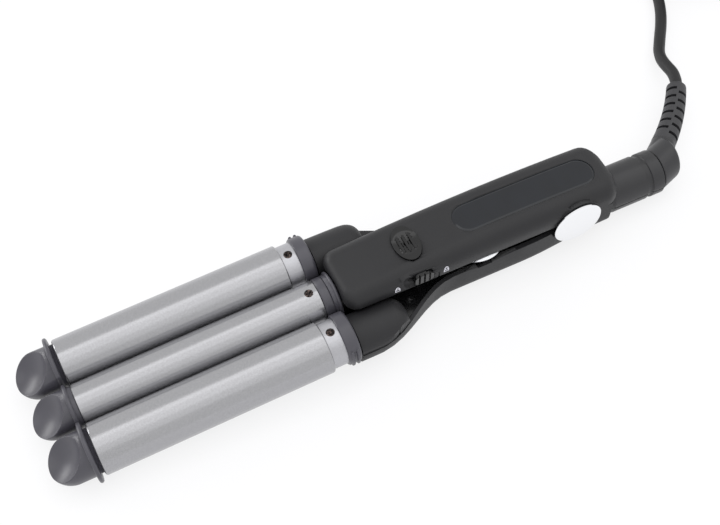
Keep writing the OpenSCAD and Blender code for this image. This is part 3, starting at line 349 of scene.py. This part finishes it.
# That room breaks through the solid's rounded belly on both sides. The real wall is closed there,
# so each opening is filled level with the outside.
wall = bmesh.new()
wall.from_mesh(lower_shell.data)
for side in (-1, 1):
    rim = []
    for edge in wall.edges:
        inside = [face for face in edge.link_faces if lines_room(face)]
        outside = [face for face in edge.link_faces
                   if face.normal.y * side > 0.2 and face.normal.z < 0.05]
        low = all(vert.co.z < belly_top / 1000 and vert.co.y * side > 0 for vert in edge.verts)
        if low and len(inside) == len(outside) == 1 and inside[0] != outside[0]:
            rim.append(edge)
    outward = (0, side, -0.6)
    bmesh.ops.triangle_fill(wall, use_beauty=True, edges=rim, normal=outward)
wall.to_mesh(lower_shell.data)
wall.free()
skin("left_pod_cover", matte_abs, edge=35)
skin("right_pod_cover", matte_abs, edge=35)

# The covers that face each other inside the arms are polished ABS, screwed and clipped in: deep
# black, with a clear, slightly wavy reflection and faint smears from handling.
gloss_abs = empty_material("polished_black_abs")
on_piece = add(gloss_abs, "ShaderNodeTexCoord", {}).outputs["Object"]
wave = add(gloss_abs, "ShaderNodeTexNoise",
           {"Vector": on_piece, "Scale": per_metre(17), "Detail": 1})
smear = add(gloss_abs, "ShaderNodeTexNoise",
            {"Vector": on_piece, "Scale": per_metre(3.8), "Detail": 5})
tone = add(gloss_abs, "ShaderNodeMix",
           {0: smear.outputs[0], 6: colour("#09090a"), 7: colour("#0f0f10")}, data_type="RGBA")
dull = add(gloss_abs, "ShaderNodeMapRange", {0: smear.outputs[0], 3: 0.14, 4: 0.2})
swell = add(gloss_abs, "ShaderNodeBump",
            {"Strength": 0.02, "Distance": 0.001, "Height": wave.outputs[0]})
body = add(gloss_abs, "ShaderNodeBsdfPrincipled",
           {"Base Color": tone.outputs[2], "Roughness": dull.outputs[0], "Normal": swell.outputs[0],
            "IOR": 1.5})
add(gloss_abs, "ShaderNodeOutputMaterial", {"Surface": body.outputs[0]})
skin("lower_inner_cover", gloss_abs, flatten=True)

# Small cross-head screws: two of blackened steel in the lower cover, and one in each neck, whose
# head is browned by the heat, dark at the edge and worn to bare brown metal round the recess.
black_steel = empty_material("blackened_steel")
on_piece = add(black_steel, "ShaderNodeTexCoord", {}).outputs["Object"]
worn = add(black_steel, "ShaderNodeTexNoise",
           {"Vector": on_piece, "Scale": per_metre(0.67), "Detail": 3})
tone = add(black_steel, "ShaderNodeMix",
           {0: worn.outputs[0], 6: colour("#0d0d0d"), 7: colour("#2c2c2e")}, data_type="RGBA")
body = add(black_steel, "ShaderNodeBsdfPrincipled",
           {"Base Color": tone.outputs[2], "Metallic": 0.6, "Roughness": 0.22})
add(black_steel, "ShaderNodeOutputMaterial", {"Surface": body.outputs[0]})
for screw in ("left_cover_screw", "right_cover_screw"):
    skin(screw, black_steel)
brown_steel = empty_material("heat_browned_steel")
on_piece = add(brown_steel, "ShaderNodeTexCoord", {}).outputs["Object"]
rust = add(brown_steel, "ShaderNodeTexNoise",
           {"Vector": on_piece, "Scale": per_metre(0.91), "Detail": 4})
patch = add(brown_steel, "ShaderNodeMapRange", {0: rust.outputs[0], 1: 0.47, 2: 0.66})
tone = add(brown_steel, "ShaderNodeMix",
           {0: patch.outputs[0], 6: colour("#151212"), 7: colour("#6f5f5a")}, data_type="RGBA")
dull = add(brown_steel, "ShaderNodeMapRange", {0: rust.outputs[0], 3: 0.25, 4: 0.5})
body = add(brown_steel, "ShaderNodeBsdfPrincipled",
           {"Base Color": tone.outputs[2], "Metallic": 0.7, "Roughness": dull.outputs[0]})
add(brown_steel, "ShaderNodeOutputMaterial", {"Surface": body.outputs[0]})
for screw in ("left_neck_screw", "right_neck_screw", "middle_neck_screw"):
    skin(screw, brown_steel)

# Heated barrels: drawn aluminium tubes with a baked titanium-coloured coating, silver grey and
# satin, in which fine metal flakes glitter. The flakes are drawn at 0.7 mm instead of 0.05 mm.
titanium_coat = empty_material("baked_titanium_coating")
on_piece = add(titanium_coat, "ShaderNodeTexCoord", {}).outputs["Object"]
flakes = add(titanium_coat, "ShaderNodeTexNoise",
             {"Vector": on_piece, "Scale": per_metre(0.67), "Detail": 2})
cloud = add(titanium_coat, "ShaderNodeTexNoise",
            {"Vector": on_piece, "Scale": per_metre(33), "Detail": 2})
tone = add(titanium_coat, "ShaderNodeMix",
           {0: flakes.outputs[0], 6: colour("#9d9d9f"), 7: colour("#afafb2")}, data_type="RGBA")
dull = add(titanium_coat, "ShaderNodeMapRange", {0: cloud.outputs[0], 3: 0.2, 4: 0.25})
swell = add(titanium_coat, "ShaderNodeBump",
            {"Strength": 0.1, "Distance": 0.0001, "Height": flakes.outputs[0]})
body = add(titanium_coat, "ShaderNodeBsdfPrincipled",
           {"Base Color": tone.outputs[2], "Metallic": 0.9, "Roughness": dull.outputs[0],
            "Normal": swell.outputs[0]})
add(titanium_coat, "ShaderNodeOutputMaterial", {"Surface": body.outputs[0]})
for name in ("left_barrel", "right_barrel", "middle_barrel"):
    skin(name, titanium_coat, round_mm=0.3)

# Inner tubes that carry the outer barrels: turned aluminium, blasted to an even satin grey that is
# a little lighter than the coating. The blasting's grain is drawn at 0.8 mm instead of 0.1 mm.
blasted_aluminium = empty_material("blasted_aluminium")
on_piece = add(blasted_aluminium, "ShaderNodeTexCoord", {}).outputs["Object"]
grain = add(blasted_aluminium, "ShaderNodeTexNoise",
            {"Vector": on_piece, "Scale": per_metre(0.77), "Detail": 2})
tone = add(blasted_aluminium, "ShaderNodeMix",
           {0: grain.outputs[0], 6: colour("#aaaaae"), 7: colour("#bbbbbf")}, data_type="RGBA")
dull = add(blasted_aluminium, "ShaderNodeMapRange", {0: grain.outputs[0], 3: 0.32, 4: 0.42})
body = add(blasted_aluminium, "ShaderNodeBsdfPrincipled",
           {"Base Color": tone.outputs[2], "Metallic": 0.85, "Roughness": dull.outputs[0]})
add(blasted_aluminium, "ShaderNodeOutputMaterial", {"Surface": body.outputs[0]})
skin("left_neck_tube", blasted_aluminium)
skin("right_neck_tube", blasted_aluminium)

# Collars and cool tips: heat-resistant glass-filled nylon, warm dark grey with a violet cast and a
# satin sheen, moulded. The filler's mottle is drawn at 0.7 mm.
filled_nylon = empty_material("glass_filled_nylon")
on_piece = add(filled_nylon, "ShaderNodeTexCoord", {}).outputs["Object"]
grain = add(filled_nylon, "ShaderNodeTexNoise",
            {"Vector": on_piece, "Scale": per_metre(0.71), "Detail": 3})
cloud = add(filled_nylon, "ShaderNodeTexNoise",
            {"Vector": on_piece, "Scale": per_metre(11), "Detail": 2})
tone = add(filled_nylon, "ShaderNodeMix",
           {0: cloud.outputs[0], 6: colour("#3f3e44"), 7: colour("#4a4951")}, data_type="RGBA")
dull = add(filled_nylon, "ShaderNodeMapRange", {0: grain.outputs[0], 3: 0.3, 4: 0.4})
swell = add(filled_nylon, "ShaderNodeBump",
            {"Strength": 0.06, "Distance": 0.0001, "Height": grain.outputs[0]})
body = add(filled_nylon, "ShaderNodeBsdfPrincipled",
           {"Base Color": tone.outputs[2], "Roughness": dull.outputs[0], "Normal": swell.outputs[0],
            "IOR": 1.52})
add(filled_nylon, "ShaderNodeOutputMaterial", {"Surface": body.outputs[0]})
for name in ("left_collar", "right_collar", "middle_collar", "left_tip", "right_tip", "middle_tip"):
    skin(name, filled_nylon, edge=35)

# Swivel housing: two halves screwed together round the elbow's stub, in the same ABS from a
# smoother mould, so with a clearer sheen than the arms. The hinge's far cap is textured ABS.
satin_abs = empty_material("satin_black_abs")
on_piece = add(satin_abs, "ShaderNodeTexCoord", {}).outputs["Object"]
grain = add(satin_abs, "ShaderNodeTexNoise",
            {"Vector": on_piece, "Scale": per_metre(0.67), "Detail": 3})
cloud = add(satin_abs, "ShaderNodeTexNoise",
            {"Vector": on_piece, "Scale": per_metre(17), "Detail": 2})
tone = add(satin_abs, "ShaderNodeMix",
           {0: cloud.outputs[0], 6: colour("#242425"), 7: colour("#2c2c2f")}, data_type="RGBA")
dull = add(satin_abs, "ShaderNodeMapRange", {0: grain.outputs[0], 3: 0.32, 4: 0.44})
swell = add(satin_abs, "ShaderNodeBump",
            {"Strength": 0.08, "Distance": 0.0001, "Height": grain.outputs[0]})
body = add(satin_abs, "ShaderNodeBsdfPrincipled",
           {"Base Color": tone.outputs[2], "Roughness": dull.outputs[0], "Normal": swell.outputs[0],
            "IOR": 1.5, "Specular IOR Level": 0.45})
add(satin_abs, "ShaderNodeOutputMaterial", {"Surface": body.outputs[0]})
skin("hub_lower_half", satin_abs, edge=35)
skin("hub_upper_half", satin_abs, edge=35)
skin("right_hinge_cap", matte_abs, edge=35)

# Elbow: one moulding of the same ABS. A stub with a lip turns in the housing, a short drum leans
# over towards the cord, and a neck leads out of it into the strain relief.
axle_height = relief_base[2]
drum_middle, drum_radius, drum_length, drum_lean, drum_rounding = 58, 9.6, 11.2, 4, 1.6
neck_length, neck_wide, neck_narrow, neck_back = 14, 6.6, 5.6, 11
stub, lip = (27, 54, 6.5), (30.4, 33.6, 7.6)
fusing_voxel = 0.4
lying = (0, math.radians(90), 0)
bpy.ops.object.select_all(action="DESELECT")
bpy.ops.mesh.primitive_cylinder_add(
    vertices=96, radius=drum_radius / 1000, depth=drum_length / 1000, rotation=lying,
    location=place(drum_middle, 0, axle_height))
bpy.ops.object.transform_apply(location=True, rotation=True, scale=True)
bpy.ops.object.mode_set(mode="EDIT")
bpy.ops.mesh.select_mode(type="FACE")
pick(lambda c, n: n.x > 0.9)
bpy.ops.transform.translate(value=(0, drum_lean / 1000, 0))
bpy.ops.mesh.bevel(offset=drum_rounding / 1000, segments=4, affect="EDGES")
bpy.ops.object.mode_set(mode="OBJECT")
elbow_parts = [bpy.context.object]
lead_out = Vector((math.cos(math.radians(relief_turn)), math.sin(math.radians(relief_turn)), 0))
bpy.ops.mesh.primitive_cone_add(
    vertices=64, radius1=neck_wide / 1000, radius2=neck_narrow / 1000, depth=neck_length / 1000,
    rotation=(0, math.radians(90), math.radians(relief_turn)),
    location=place(*(Vector(relief_base) - neck_back * lead_out)))
elbow_parts.append(bpy.context.object)
for start, end, radius in (stub, lip):
    bpy.ops.mesh.primitive_cylinder_add(
        vertices=64, radius=radius / 1000, depth=(end - start) / 1000, rotation=lying,
        location=place((start + end) / 2, 0, axle_height))
    elbow_parts.append(bpy.context.object)
bpy.ops.object.select_all(action="DESELECT")
for part in elbow_parts:
    part.select_set(True)
bpy.context.view_layer.objects.active = elbow_parts[0]
bpy.ops.object.join()
fused = bpy.context.object.modifiers.new("fused", "REMESH")
fused.mode = "VOXEL"
fused.voxel_size = fusing_voxel / 1000
bpy.ops.object.modifier_apply(modifier="fused")
eased_corners = bpy.context.object.modifiers.new("eased_corners", "SMOOTH")
eased_corners.factor = 0.5
eased_corners.iterations = 6
bpy.ops.object.modifier_apply(modifier="eased_corners")
finish("elbow_moulding", satin_abs, "swivel", "shell_matte", "swivel_elbow", smooth=60)

# Hinge: a bracket pressed from zinc-plated sheet steel, a turned pin and a coiled spring, all
# inside. The zinc is dull grey with a faint spangle, drawn at 2 mm.
zinc_steel = empty_material("zinc_plated_steel")
on_piece = add(zinc_steel, "ShaderNodeTexCoord", {}).outputs["Object"]
spangle = add(zinc_steel, "ShaderNodeTexNoise",
              {"Vector": on_piece, "Scale": per_metre(2), "Detail": 3})
tone = add(zinc_steel, "ShaderNodeMix",
           {0: spangle.outputs[0], 6: colour("#9a9a9c"), 7: colour("#b2b2b2")}, data_type="RGBA")
body = add(zinc_steel, "ShaderNodeBsdfPrincipled",
           {"Base Color": tone.outputs[2], "Metallic": 1.0, "Roughness": 0.38})
add(zinc_steel, "ShaderNodeOutputMaterial", {"Surface": body.outputs[0]})
for name in ("hinge_bracket", "hinge_pin", "opening_spring"):
    skin(name, zinc_steel)

# The cap on the pin's near end is turned brass, polished and chrome-plated: a mirror with a trace
# of handling. A groove runs round its flat face, inside a narrow rim.
cap_rim, groove_slope, groove_depth = 0.5, 0.4, 0.3
chrome_plate = empty_material("chrome_plated_brass")
on_piece = add(chrome_plate, "ShaderNodeTexCoord", {}).outputs["Object"]
wear = add(chrome_plate, "ShaderNodeTexNoise",
           {"Vector": on_piece, "Scale": per_metre(2.9), "Detail": 4})
dull = add(chrome_plate, "ShaderNodeMapRange", {0: wear.outputs[0], 3: 0.05, 4: 0.13})
body = add(chrome_plate, "ShaderNodeBsdfPrincipled",
           {"Base Color": colour("#f4f5f7"), "Metallic": 1.0, "Roughness": dull.outputs[0]})
add(chrome_plate, "ShaderNodeOutputMaterial", {"Surface": body.outputs[0]})
skin("left_hinge_cap", chrome_plate, flatten=True)
cap_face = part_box("left_hinge_cap")[0][1] * 1000
bpy.ops.object.mode_set(mode="EDIT")
bpy.ops.mesh.select_mode(type="FACE")
pick(lambda c, n: n.y < -0.999 and abs(c.y - cap_face) < 0.02)
bpy.ops.mesh.inset(thickness=cap_rim / 1000)
bpy.ops.mesh.inset(thickness=groove_slope / 1000, depth=-groove_depth / 1000)
bpy.ops.mesh.inset(thickness=groove_slope / 1000, depth=groove_depth / 1000)
bpy.ops.object.mode_set(mode="OBJECT")

# Upper arm: its bowed shell is textured like the lower one. The cover clipped in under it, the
# thumb rest glued into its recess and the lock's knob, which slides in a slot, are polished.
upper_shell = skin("upper_shell", matte_abs, edge=35)
skin("upper_inner_cover", gloss_abs)
skin("thumb_rest", gloss_abs, flatten=True)
skin("lock_slider", gloss_abs, flatten=True)

# Nameplate, left bare: a pill of clear-coated black ABS with a sloping rim, glued into a recess in
# the bowed top of the upper arm. Its deep blue-black shows a soft, clear reflection.
plate_abs = empty_material("lacquered_black_abs")
on_piece = add(plate_abs, "ShaderNodeTexCoord", {}).outputs["Object"]
wave = add(plate_abs, "ShaderNodeTexNoise",
           {"Vector": on_piece, "Scale": per_metre(11), "Detail": 1})
smear = add(plate_abs, "ShaderNodeTexNoise",
            {"Vector": on_piece, "Scale": per_metre(3.3), "Detail": 4})
tone = add(plate_abs, "ShaderNodeMix",
           {0: wave.outputs[0], 6: colour("#070a10"), 7: colour("#0e131b")}, data_type="RGBA")
dull = add(plate_abs, "ShaderNodeMapRange", {0: smear.outputs[0], 3: 0.1, 4: 0.2})
swell = add(plate_abs, "ShaderNodeBump",
            {"Strength": 0.03, "Distance": 0.001, "Height": wave.outputs[0]})
body = add(plate_abs, "ShaderNodeBsdfPrincipled",
           {"Base Color": tone.outputs[2], "Roughness": dull.outputs[0], "Normal": swell.outputs[0],
            "IOR": 1.5})
add(plate_abs, "ShaderNodeOutputMaterial", {"Surface": body.outputs[0]})
plate_x, plate_length, plate_width, plate_thickness = -19.5, 68.8, 14.2, 1.0
rim_flat, rim_slope, rim_drop = 0.2, 0.8, 0.3
bow_x, bow_top, bow_radius, bow_cuts = -25, 36.3, 820, 22
bpy.ops.object.select_all(action="DESELECT")
bpy.ops.mesh.primitive_cube_add(
    size=0.001, scale=(plate_length, plate_thickness - rim_drop, plate_width))
bpy.ops.object.transform_apply(location=True, rotation=True, scale=True)
bpy.ops.object.mode_set(mode="EDIT")
bpy.ops.mesh.select_mode(type="EDGE")
bpy.ops.mesh.select_all(action="DESELECT")
blank = bmesh.from_edit_mesh(bpy.context.object.data)
for edge in blank.edges:
    upright = abs(edge.verts[0].co.y - edge.verts[1].co.y) > plate_thickness / 10000
    edge.select_set(upright)
bmesh.update_edit_mesh(bpy.context.object.data)
bpy.ops.mesh.bevel(offset=plate_width / 2000, segments=14, affect="EDGES")
bpy.ops.mesh.select_all(action="SELECT")
bpy.ops.mesh.remove_doubles(threshold=0.0001)
bpy.ops.mesh.select_mode(type="FACE")
pick(lambda c, n: n.y > 0.9)
bpy.ops.mesh.inset(thickness=rim_flat / 1000)
bpy.ops.mesh.inset(thickness=rim_slope / 1000, depth=rim_drop / 1000)
for i in range(1, bow_cuts + 1):
    cut(-plate_length / 2 + plate_length * i / (bow_cuts + 1))
bpy.ops.object.mode_set(mode="OBJECT")
bend = bpy.context.object.modifiers.new("bend", "SIMPLE_DEFORM")
bend.deform_method = "BEND"
bend.deform_axis = "Z"
bend.angle = -plate_length / bow_radius
bpy.ops.object.modifier_apply(modifier="bend")
rise = math.sqrt(bow_radius ** 2 - (plate_x - bow_x) ** 2) - bow_radius
bpy.context.object.rotation_euler = (math.radians(90), (plate_x - bow_x) / bow_radius, 0)
bpy.context.object.location = place(plate_x, 0, bow_top + rise - plate_thickness / 2 - rim_drop / 2)
finish("bare_nameplate", plate_abs, "upper_arm", "cover_gloss", "nameplate", smooth=20)

# Lock symbols: a shut padlock where the knob locks and an open one where it frees the arms,
# pad-printed in white ink on the side of the upper arm as plain line figures, 2.4 mm wide.
white_ink = empty_material("white_pad_print")
on_piece = add(white_ink, "ShaderNodeTexCoord", {}).outputs["Object"]
cover = add(white_ink, "ShaderNodeTexNoise",
            {"Vector": on_piece, "Scale": per_metre(0.4), "Detail": 2})
tone = add(white_ink, "ShaderNodeMix",
           {0: cover.outputs[0], 6: colour("#c2c2ca"), 7: colour("#e6e6ee")}, data_type="RGBA")
body = add(white_ink, "ShaderNodeBsdfPrincipled", {"Base Color": tone.outputs[2], "Roughness": 0.5})
add(white_ink, "ShaderNodeOutputMaterial", {"Surface": body.outputs[0]})


def padlock(name, x, lift, middle):
    """A padlock in white outline on the arm's side, with its shackle lifted when it is open."""
    wide, high, line, shackle, ink = 2.4, 1.7, 0.42, 0.95, 0.05
    facing, beside_arm = (math.radians(90), 0, 0), -17
    bpy.ops.object.select_all(action="DESELECT")
    bpy.ops.mesh.primitive_circle_add(
        vertices=28, radius=shackle / 1000, fill_type="NGON", rotation=facing,
        location=place(x, beside_arm, middle + high / 2 + lift))
    bpy.ops.object.transform_apply(location=True, rotation=True, scale=True)
    bpy.ops.object.mode_set(mode="EDIT")
    bpy.ops.mesh.select_mode(type="FACE")
    bpy.ops.mesh.select_all(action="SELECT")
    bpy.ops.mesh.inset(thickness=line / 1000)
    bpy.ops.mesh.delete(type="FACE")
    pick(lambda c, n: c.z < middle + high / 2)
    bpy.ops.mesh.delete(type="FACE")
    bpy.ops.mesh.primitive_plane_add(
        size=0.001, rotation=facing, location=place(x, beside_arm, middle))
    bpy.ops.transform.resize(value=(wide, 1, high), center_override=place(x, beside_arm, middle))
    bpy.ops.mesh.inset(thickness=line / 1000)
    bpy.ops.mesh.delete(type="FACE")
    bpy.ops.mesh.select_all(action="SELECT")
    bpy.ops.mesh.subdivide(number_cuts=3)
    bpy.ops.object.mode_set(mode="OBJECT")
    laid = bpy.context.object.modifiers.new("laid", "SHRINKWRAP")
    laid.wrap_method = "PROJECT"
    laid.use_project_y = True
    laid.use_negative_direction = laid.use_positive_direction = True
    laid.target = upper_shell
    laid.offset = 0.6 * ink / 1000
    bpy.ops.object.modifier_apply(modifier="laid")
    inked = bpy.context.object.modifiers.new("inked", "SOLIDIFY")
    inked.thickness = ink / 1000
    inked.offset = 0
    bpy.ops.object.modifier_apply(modifier="inked")
    finish(name, white_ink, "upper_arm", "shell_matte")


padlock("locked_symbol", -87.7, 0, 27.4)
padlock("unlocked_symbol", -64.8, 0.5, 27.8)

# Temperature wheel: ABS plated a satin silver. It lies flat in the lower arm, turns on the
# control's spindle, and its finely grooved rim stands out at the side for a thumb. Its top is
# dished round a low hub. The plating's grain is drawn at 0.8 mm.
satin_plate = empty_material("satin_plated_abs")
on_piece = add(satin_plate, "ShaderNodeTexCoord", {}).outputs["Object"]
grain = add(satin_plate, "ShaderNodeTexNoise",
            {"Vector": on_piece, "Scale": per_metre(0.77), "Detail": 2})
dull = add(satin_plate, "ShaderNodeMapRange", {0: grain.outputs[0], 3: 0.22, 4: 0.32})
body = add(satin_plate, "ShaderNodeBsdfPrincipled",
           {"Base Color": colour("#dcdde0"), "Metallic": 0.85, "Roughness": dull.outputs[0]})
add(satin_plate, "ShaderNodeOutputMaterial", {"Surface": body.outputs[0]})
wheel_thickness, wheel_rounding, groove_bottom, rim_faces = 4.4, 0.6, 0.968, 132
dish_rim, dish_slope, dish_depth, hub_radius, hub_slope, hub_height = 1.6, 0.2, 0.5, 4.55, 0.2, 0.4
wheel_low, wheel_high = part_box("temperature_dial")
wheel_middle = Vector([(low + high) / 2 for low, high in zip(wheel_low, wheel_high)])
wheel_radius = (wheel_high[0] - wheel_low[0]) / 2 * 1000
wheel_top = wheel_high[2] * 1000


def off_axle(c):
    """How far a face's centre lies from the wheel's axle, as millimetres along X and Y."""
    return c.x - wheel_middle.x * 1000, c.y - wheel_middle.y * 1000


def in_groove(c, n):
    """Whether a face is one of every other face round the rim, which are sunk as grooves."""
    across, along = off_axle(c)
    number = round(math.atan2(along, across) * rim_faces / (2 * math.pi) - 0.5)
    return abs(n.z) < 0.1 and number % 2 == 0


bpy.ops.object.select_all(action="DESELECT")
bpy.ops.mesh.primitive_cylinder_add(
    vertices=rim_faces, radius=wheel_radius / 1000, depth=wheel_thickness / 1000,
    location=(wheel_middle.x, wheel_middle.y, (wheel_top - wheel_thickness / 2) / 1000))
bpy.ops.object.transform_apply(location=True, rotation=True, scale=True)
bpy.ops.object.mode_set(mode="EDIT")
bpy.ops.mesh.select_mode(type="FACE")
pick(lambda c, n: abs(n.z) > 0.9)
bpy.ops.mesh.bevel(offset=wheel_rounding / 1000, segments=2, affect="EDGES")
pick(in_groove)
bpy.ops.mesh.extrude_region()
bpy.ops.transform.resize(value=(groove_bottom, groove_bottom, 1), center_override=wheel_middle)
pick(lambda c, n: n.z > 0.9 and c.z > wheel_top - 0.1)
bpy.ops.mesh.inset(thickness=dish_rim / 1000)
bpy.ops.mesh.inset(thickness=dish_slope / 1000, depth=-dish_depth / 1000)
pick(lambda c, n: abs(n.z) > 0.9 and math.hypot(*off_axle(c)) < 0.5)
bpy.ops.mesh.inset(thickness=(wheel_radius - hub_radius) / 1000)
pick(lambda c, n: n.z > 0.9 and math.hypot(*off_axle(c)) < 0.5)
bpy.ops.mesh.inset(thickness=hub_slope / 1000, depth=hub_height / 1000)
bpy.ops.object.mode_set(mode="OBJECT")
finish("thumb_wheel", satin_plate, "wheel", "chrome", "temperature_dial", smooth=30)

# Inside, unseen: a heater of sintered alumina stands in each barrel, held by its two discs, and
# the control's board of green glass-fibre laminate is screwed into the lower arm.
white_ceramic = empty_material("sintered_alumina")
on_piece = add(white_ceramic, "ShaderNodeTexCoord", {}).outputs["Object"]
grain = add(white_ceramic, "ShaderNodeTexNoise",
            {"Vector": on_piece, "Scale": per_metre(1.25), "Detail": 3})
tone = add(white_ceramic, "ShaderNodeMix",
           {0: grain.outputs[0], 6: colour("#dcd6c8"), 7: colour("#ebe6da")}, data_type="RGBA")
body = add(white_ceramic, "ShaderNodeBsdfPrincipled",
           {"Base Color": tone.outputs[2], "Roughness": 0.6})
add(white_ceramic, "ShaderNodeOutputMaterial", {"Surface": body.outputs[0]})
board_laminate = empty_material("glass_fibre_laminate")
on_piece = add(board_laminate, "ShaderNodeTexCoord", {}).outputs["Object"]
weave = add(board_laminate, "ShaderNodeTexWave", {"Vector": on_piece, "Scale": per_metre(1.7)})
tone = add(board_laminate, "ShaderNodeMix",
           {0: weave.outputs[0], 6: colour("#1f5a33"), 7: colour("#28693d")}, data_type="RGBA")
body = add(board_laminate, "ShaderNodeBsdfPrincipled",
           {"Base Color": tone.outputs[2], "Roughness": 0.4})
add(board_laminate, "ShaderNodeOutputMaterial", {"Surface": body.outputs[0]})
for name, material in (("left_heater", white_ceramic), ("right_heater", white_ceramic),
                       ("middle_heater", white_ceramic), ("control_board", board_laminate)):
    skin(name, material)

# Plain white table: painted board, lit by soft boxes. It shows as white to the camera and in
# reflections, and keeps a soft grey shadow under the tool.
bpy.ops.object.select_all(action="DESELECT")
bpy.ops.mesh.primitive_plane_add(size=6, location=(0, 0, -0.0002))
table = bpy.context.object
table.name = "table"
white_table = empty_material("white_table")
white_share = 0.78
seen = add(white_table, "ShaderNodeLightPath", {})
direct = add(white_table, "ShaderNodeMath",
             {0: seen.outputs["Is Camera Ray"], 1: seen.outputs["Is Glossy Ray"]},
             operation="MAXIMUM")
unlit = add(white_table, "ShaderNodeMath",
            {0: direct.outputs[0], 1: seen.outputs["Is Transmission Ray"]}, operation="MAXIMUM")
share = add(white_table, "ShaderNodeMath",
            {0: unlit.outputs[0], 1: white_share}, operation="MULTIPLY")
flat = add(white_table, "ShaderNodeBsdfDiffuse", {"Color": colour("#f4f4f8")})
glow = add(white_table, "ShaderNodeEmission", {"Color": (1, 1, 1, 1), "Strength": 1.0})
mixed = add(white_table, "ShaderNodeMixShader",
            {0: share.outputs[0], 1: flat.outputs[0], 2: glow.outputs[0]})
add(white_table, "ShaderNodeOutputMaterial", {"Surface": mixed.outputs[0]})
table.data.materials.append(white_table)


def soft_box(name, spot, size, brightness):
    """A rectangular lamp at a place in metres, facing down; at brightness 1 it shows as white."""
    lamp_data = bpy.data.lights.new(name, "AREA")
    lamp_data.shape = "RECTANGLE"
    lamp_data.size, lamp_data.size_y = size
    lamp_data.energy = brightness * math.pi * lamp_data.size * lamp_data.size_y
    lamp = bpy.data.objects.new(name, lamp_data)
    lamp.location = spot
    bpy.context.collection.objects.link(lamp)
    return lamp


# Three soft boxes hang 1.2 m over the table, side by side: the brightest behind the tool, whose
# far edge draws the line along the barrels, and two dimmer ones before it, so the light fades.
lamp_height, lamp_x, lamp_width = 1.2, 0.25, 2.6
for name, near_edge, far_edge, brightness in (("back_soft_box", 0.1, 0.48, 0.9),
                                              ("middle_soft_box", -0.5, 0.1, 0.6),
                                              ("front_soft_box", -1.3, -0.5, 0.28)):
    soft_box(name, (lamp_x, (near_edge + far_edge) / 2, lamp_height),
             (lamp_width, far_edge - near_edge), brightness)

# A small bright one stands low at the back on the left, turned to the tool. It draws the sheen on
# the tips, the collars and the shells' far edges. The room round them is plain white.
side_lamp = soft_box("side_soft_box", (-1.05, 1.2, 0.42), (0.9, 0.6), 4.5)
side_lamp.rotation_euler = (-side_lamp.location).to_track_quat("-Z", "Y").to_euler()
world = bpy.context.scene.world or bpy.data.worlds.new("studio")
bpy.context.scene.world = world
world.use_nodes = True
sky = world.node_tree.nodes["Background"]
sky.inputs["Color"].default_value = (1, 1, 1, 1)
looked_at = add(world, "ShaderNodeLightPath", {})
level = add(world, "ShaderNodeMapRange", {0: looked_at.outputs["Is Camera Ray"], 3: 0.95, 4: 1.0})
world.node_tree.links.new(level.outputs[0], sky.inputs["Strength"])
bpy.context.scene.view_settings.view_transform = "Standard"
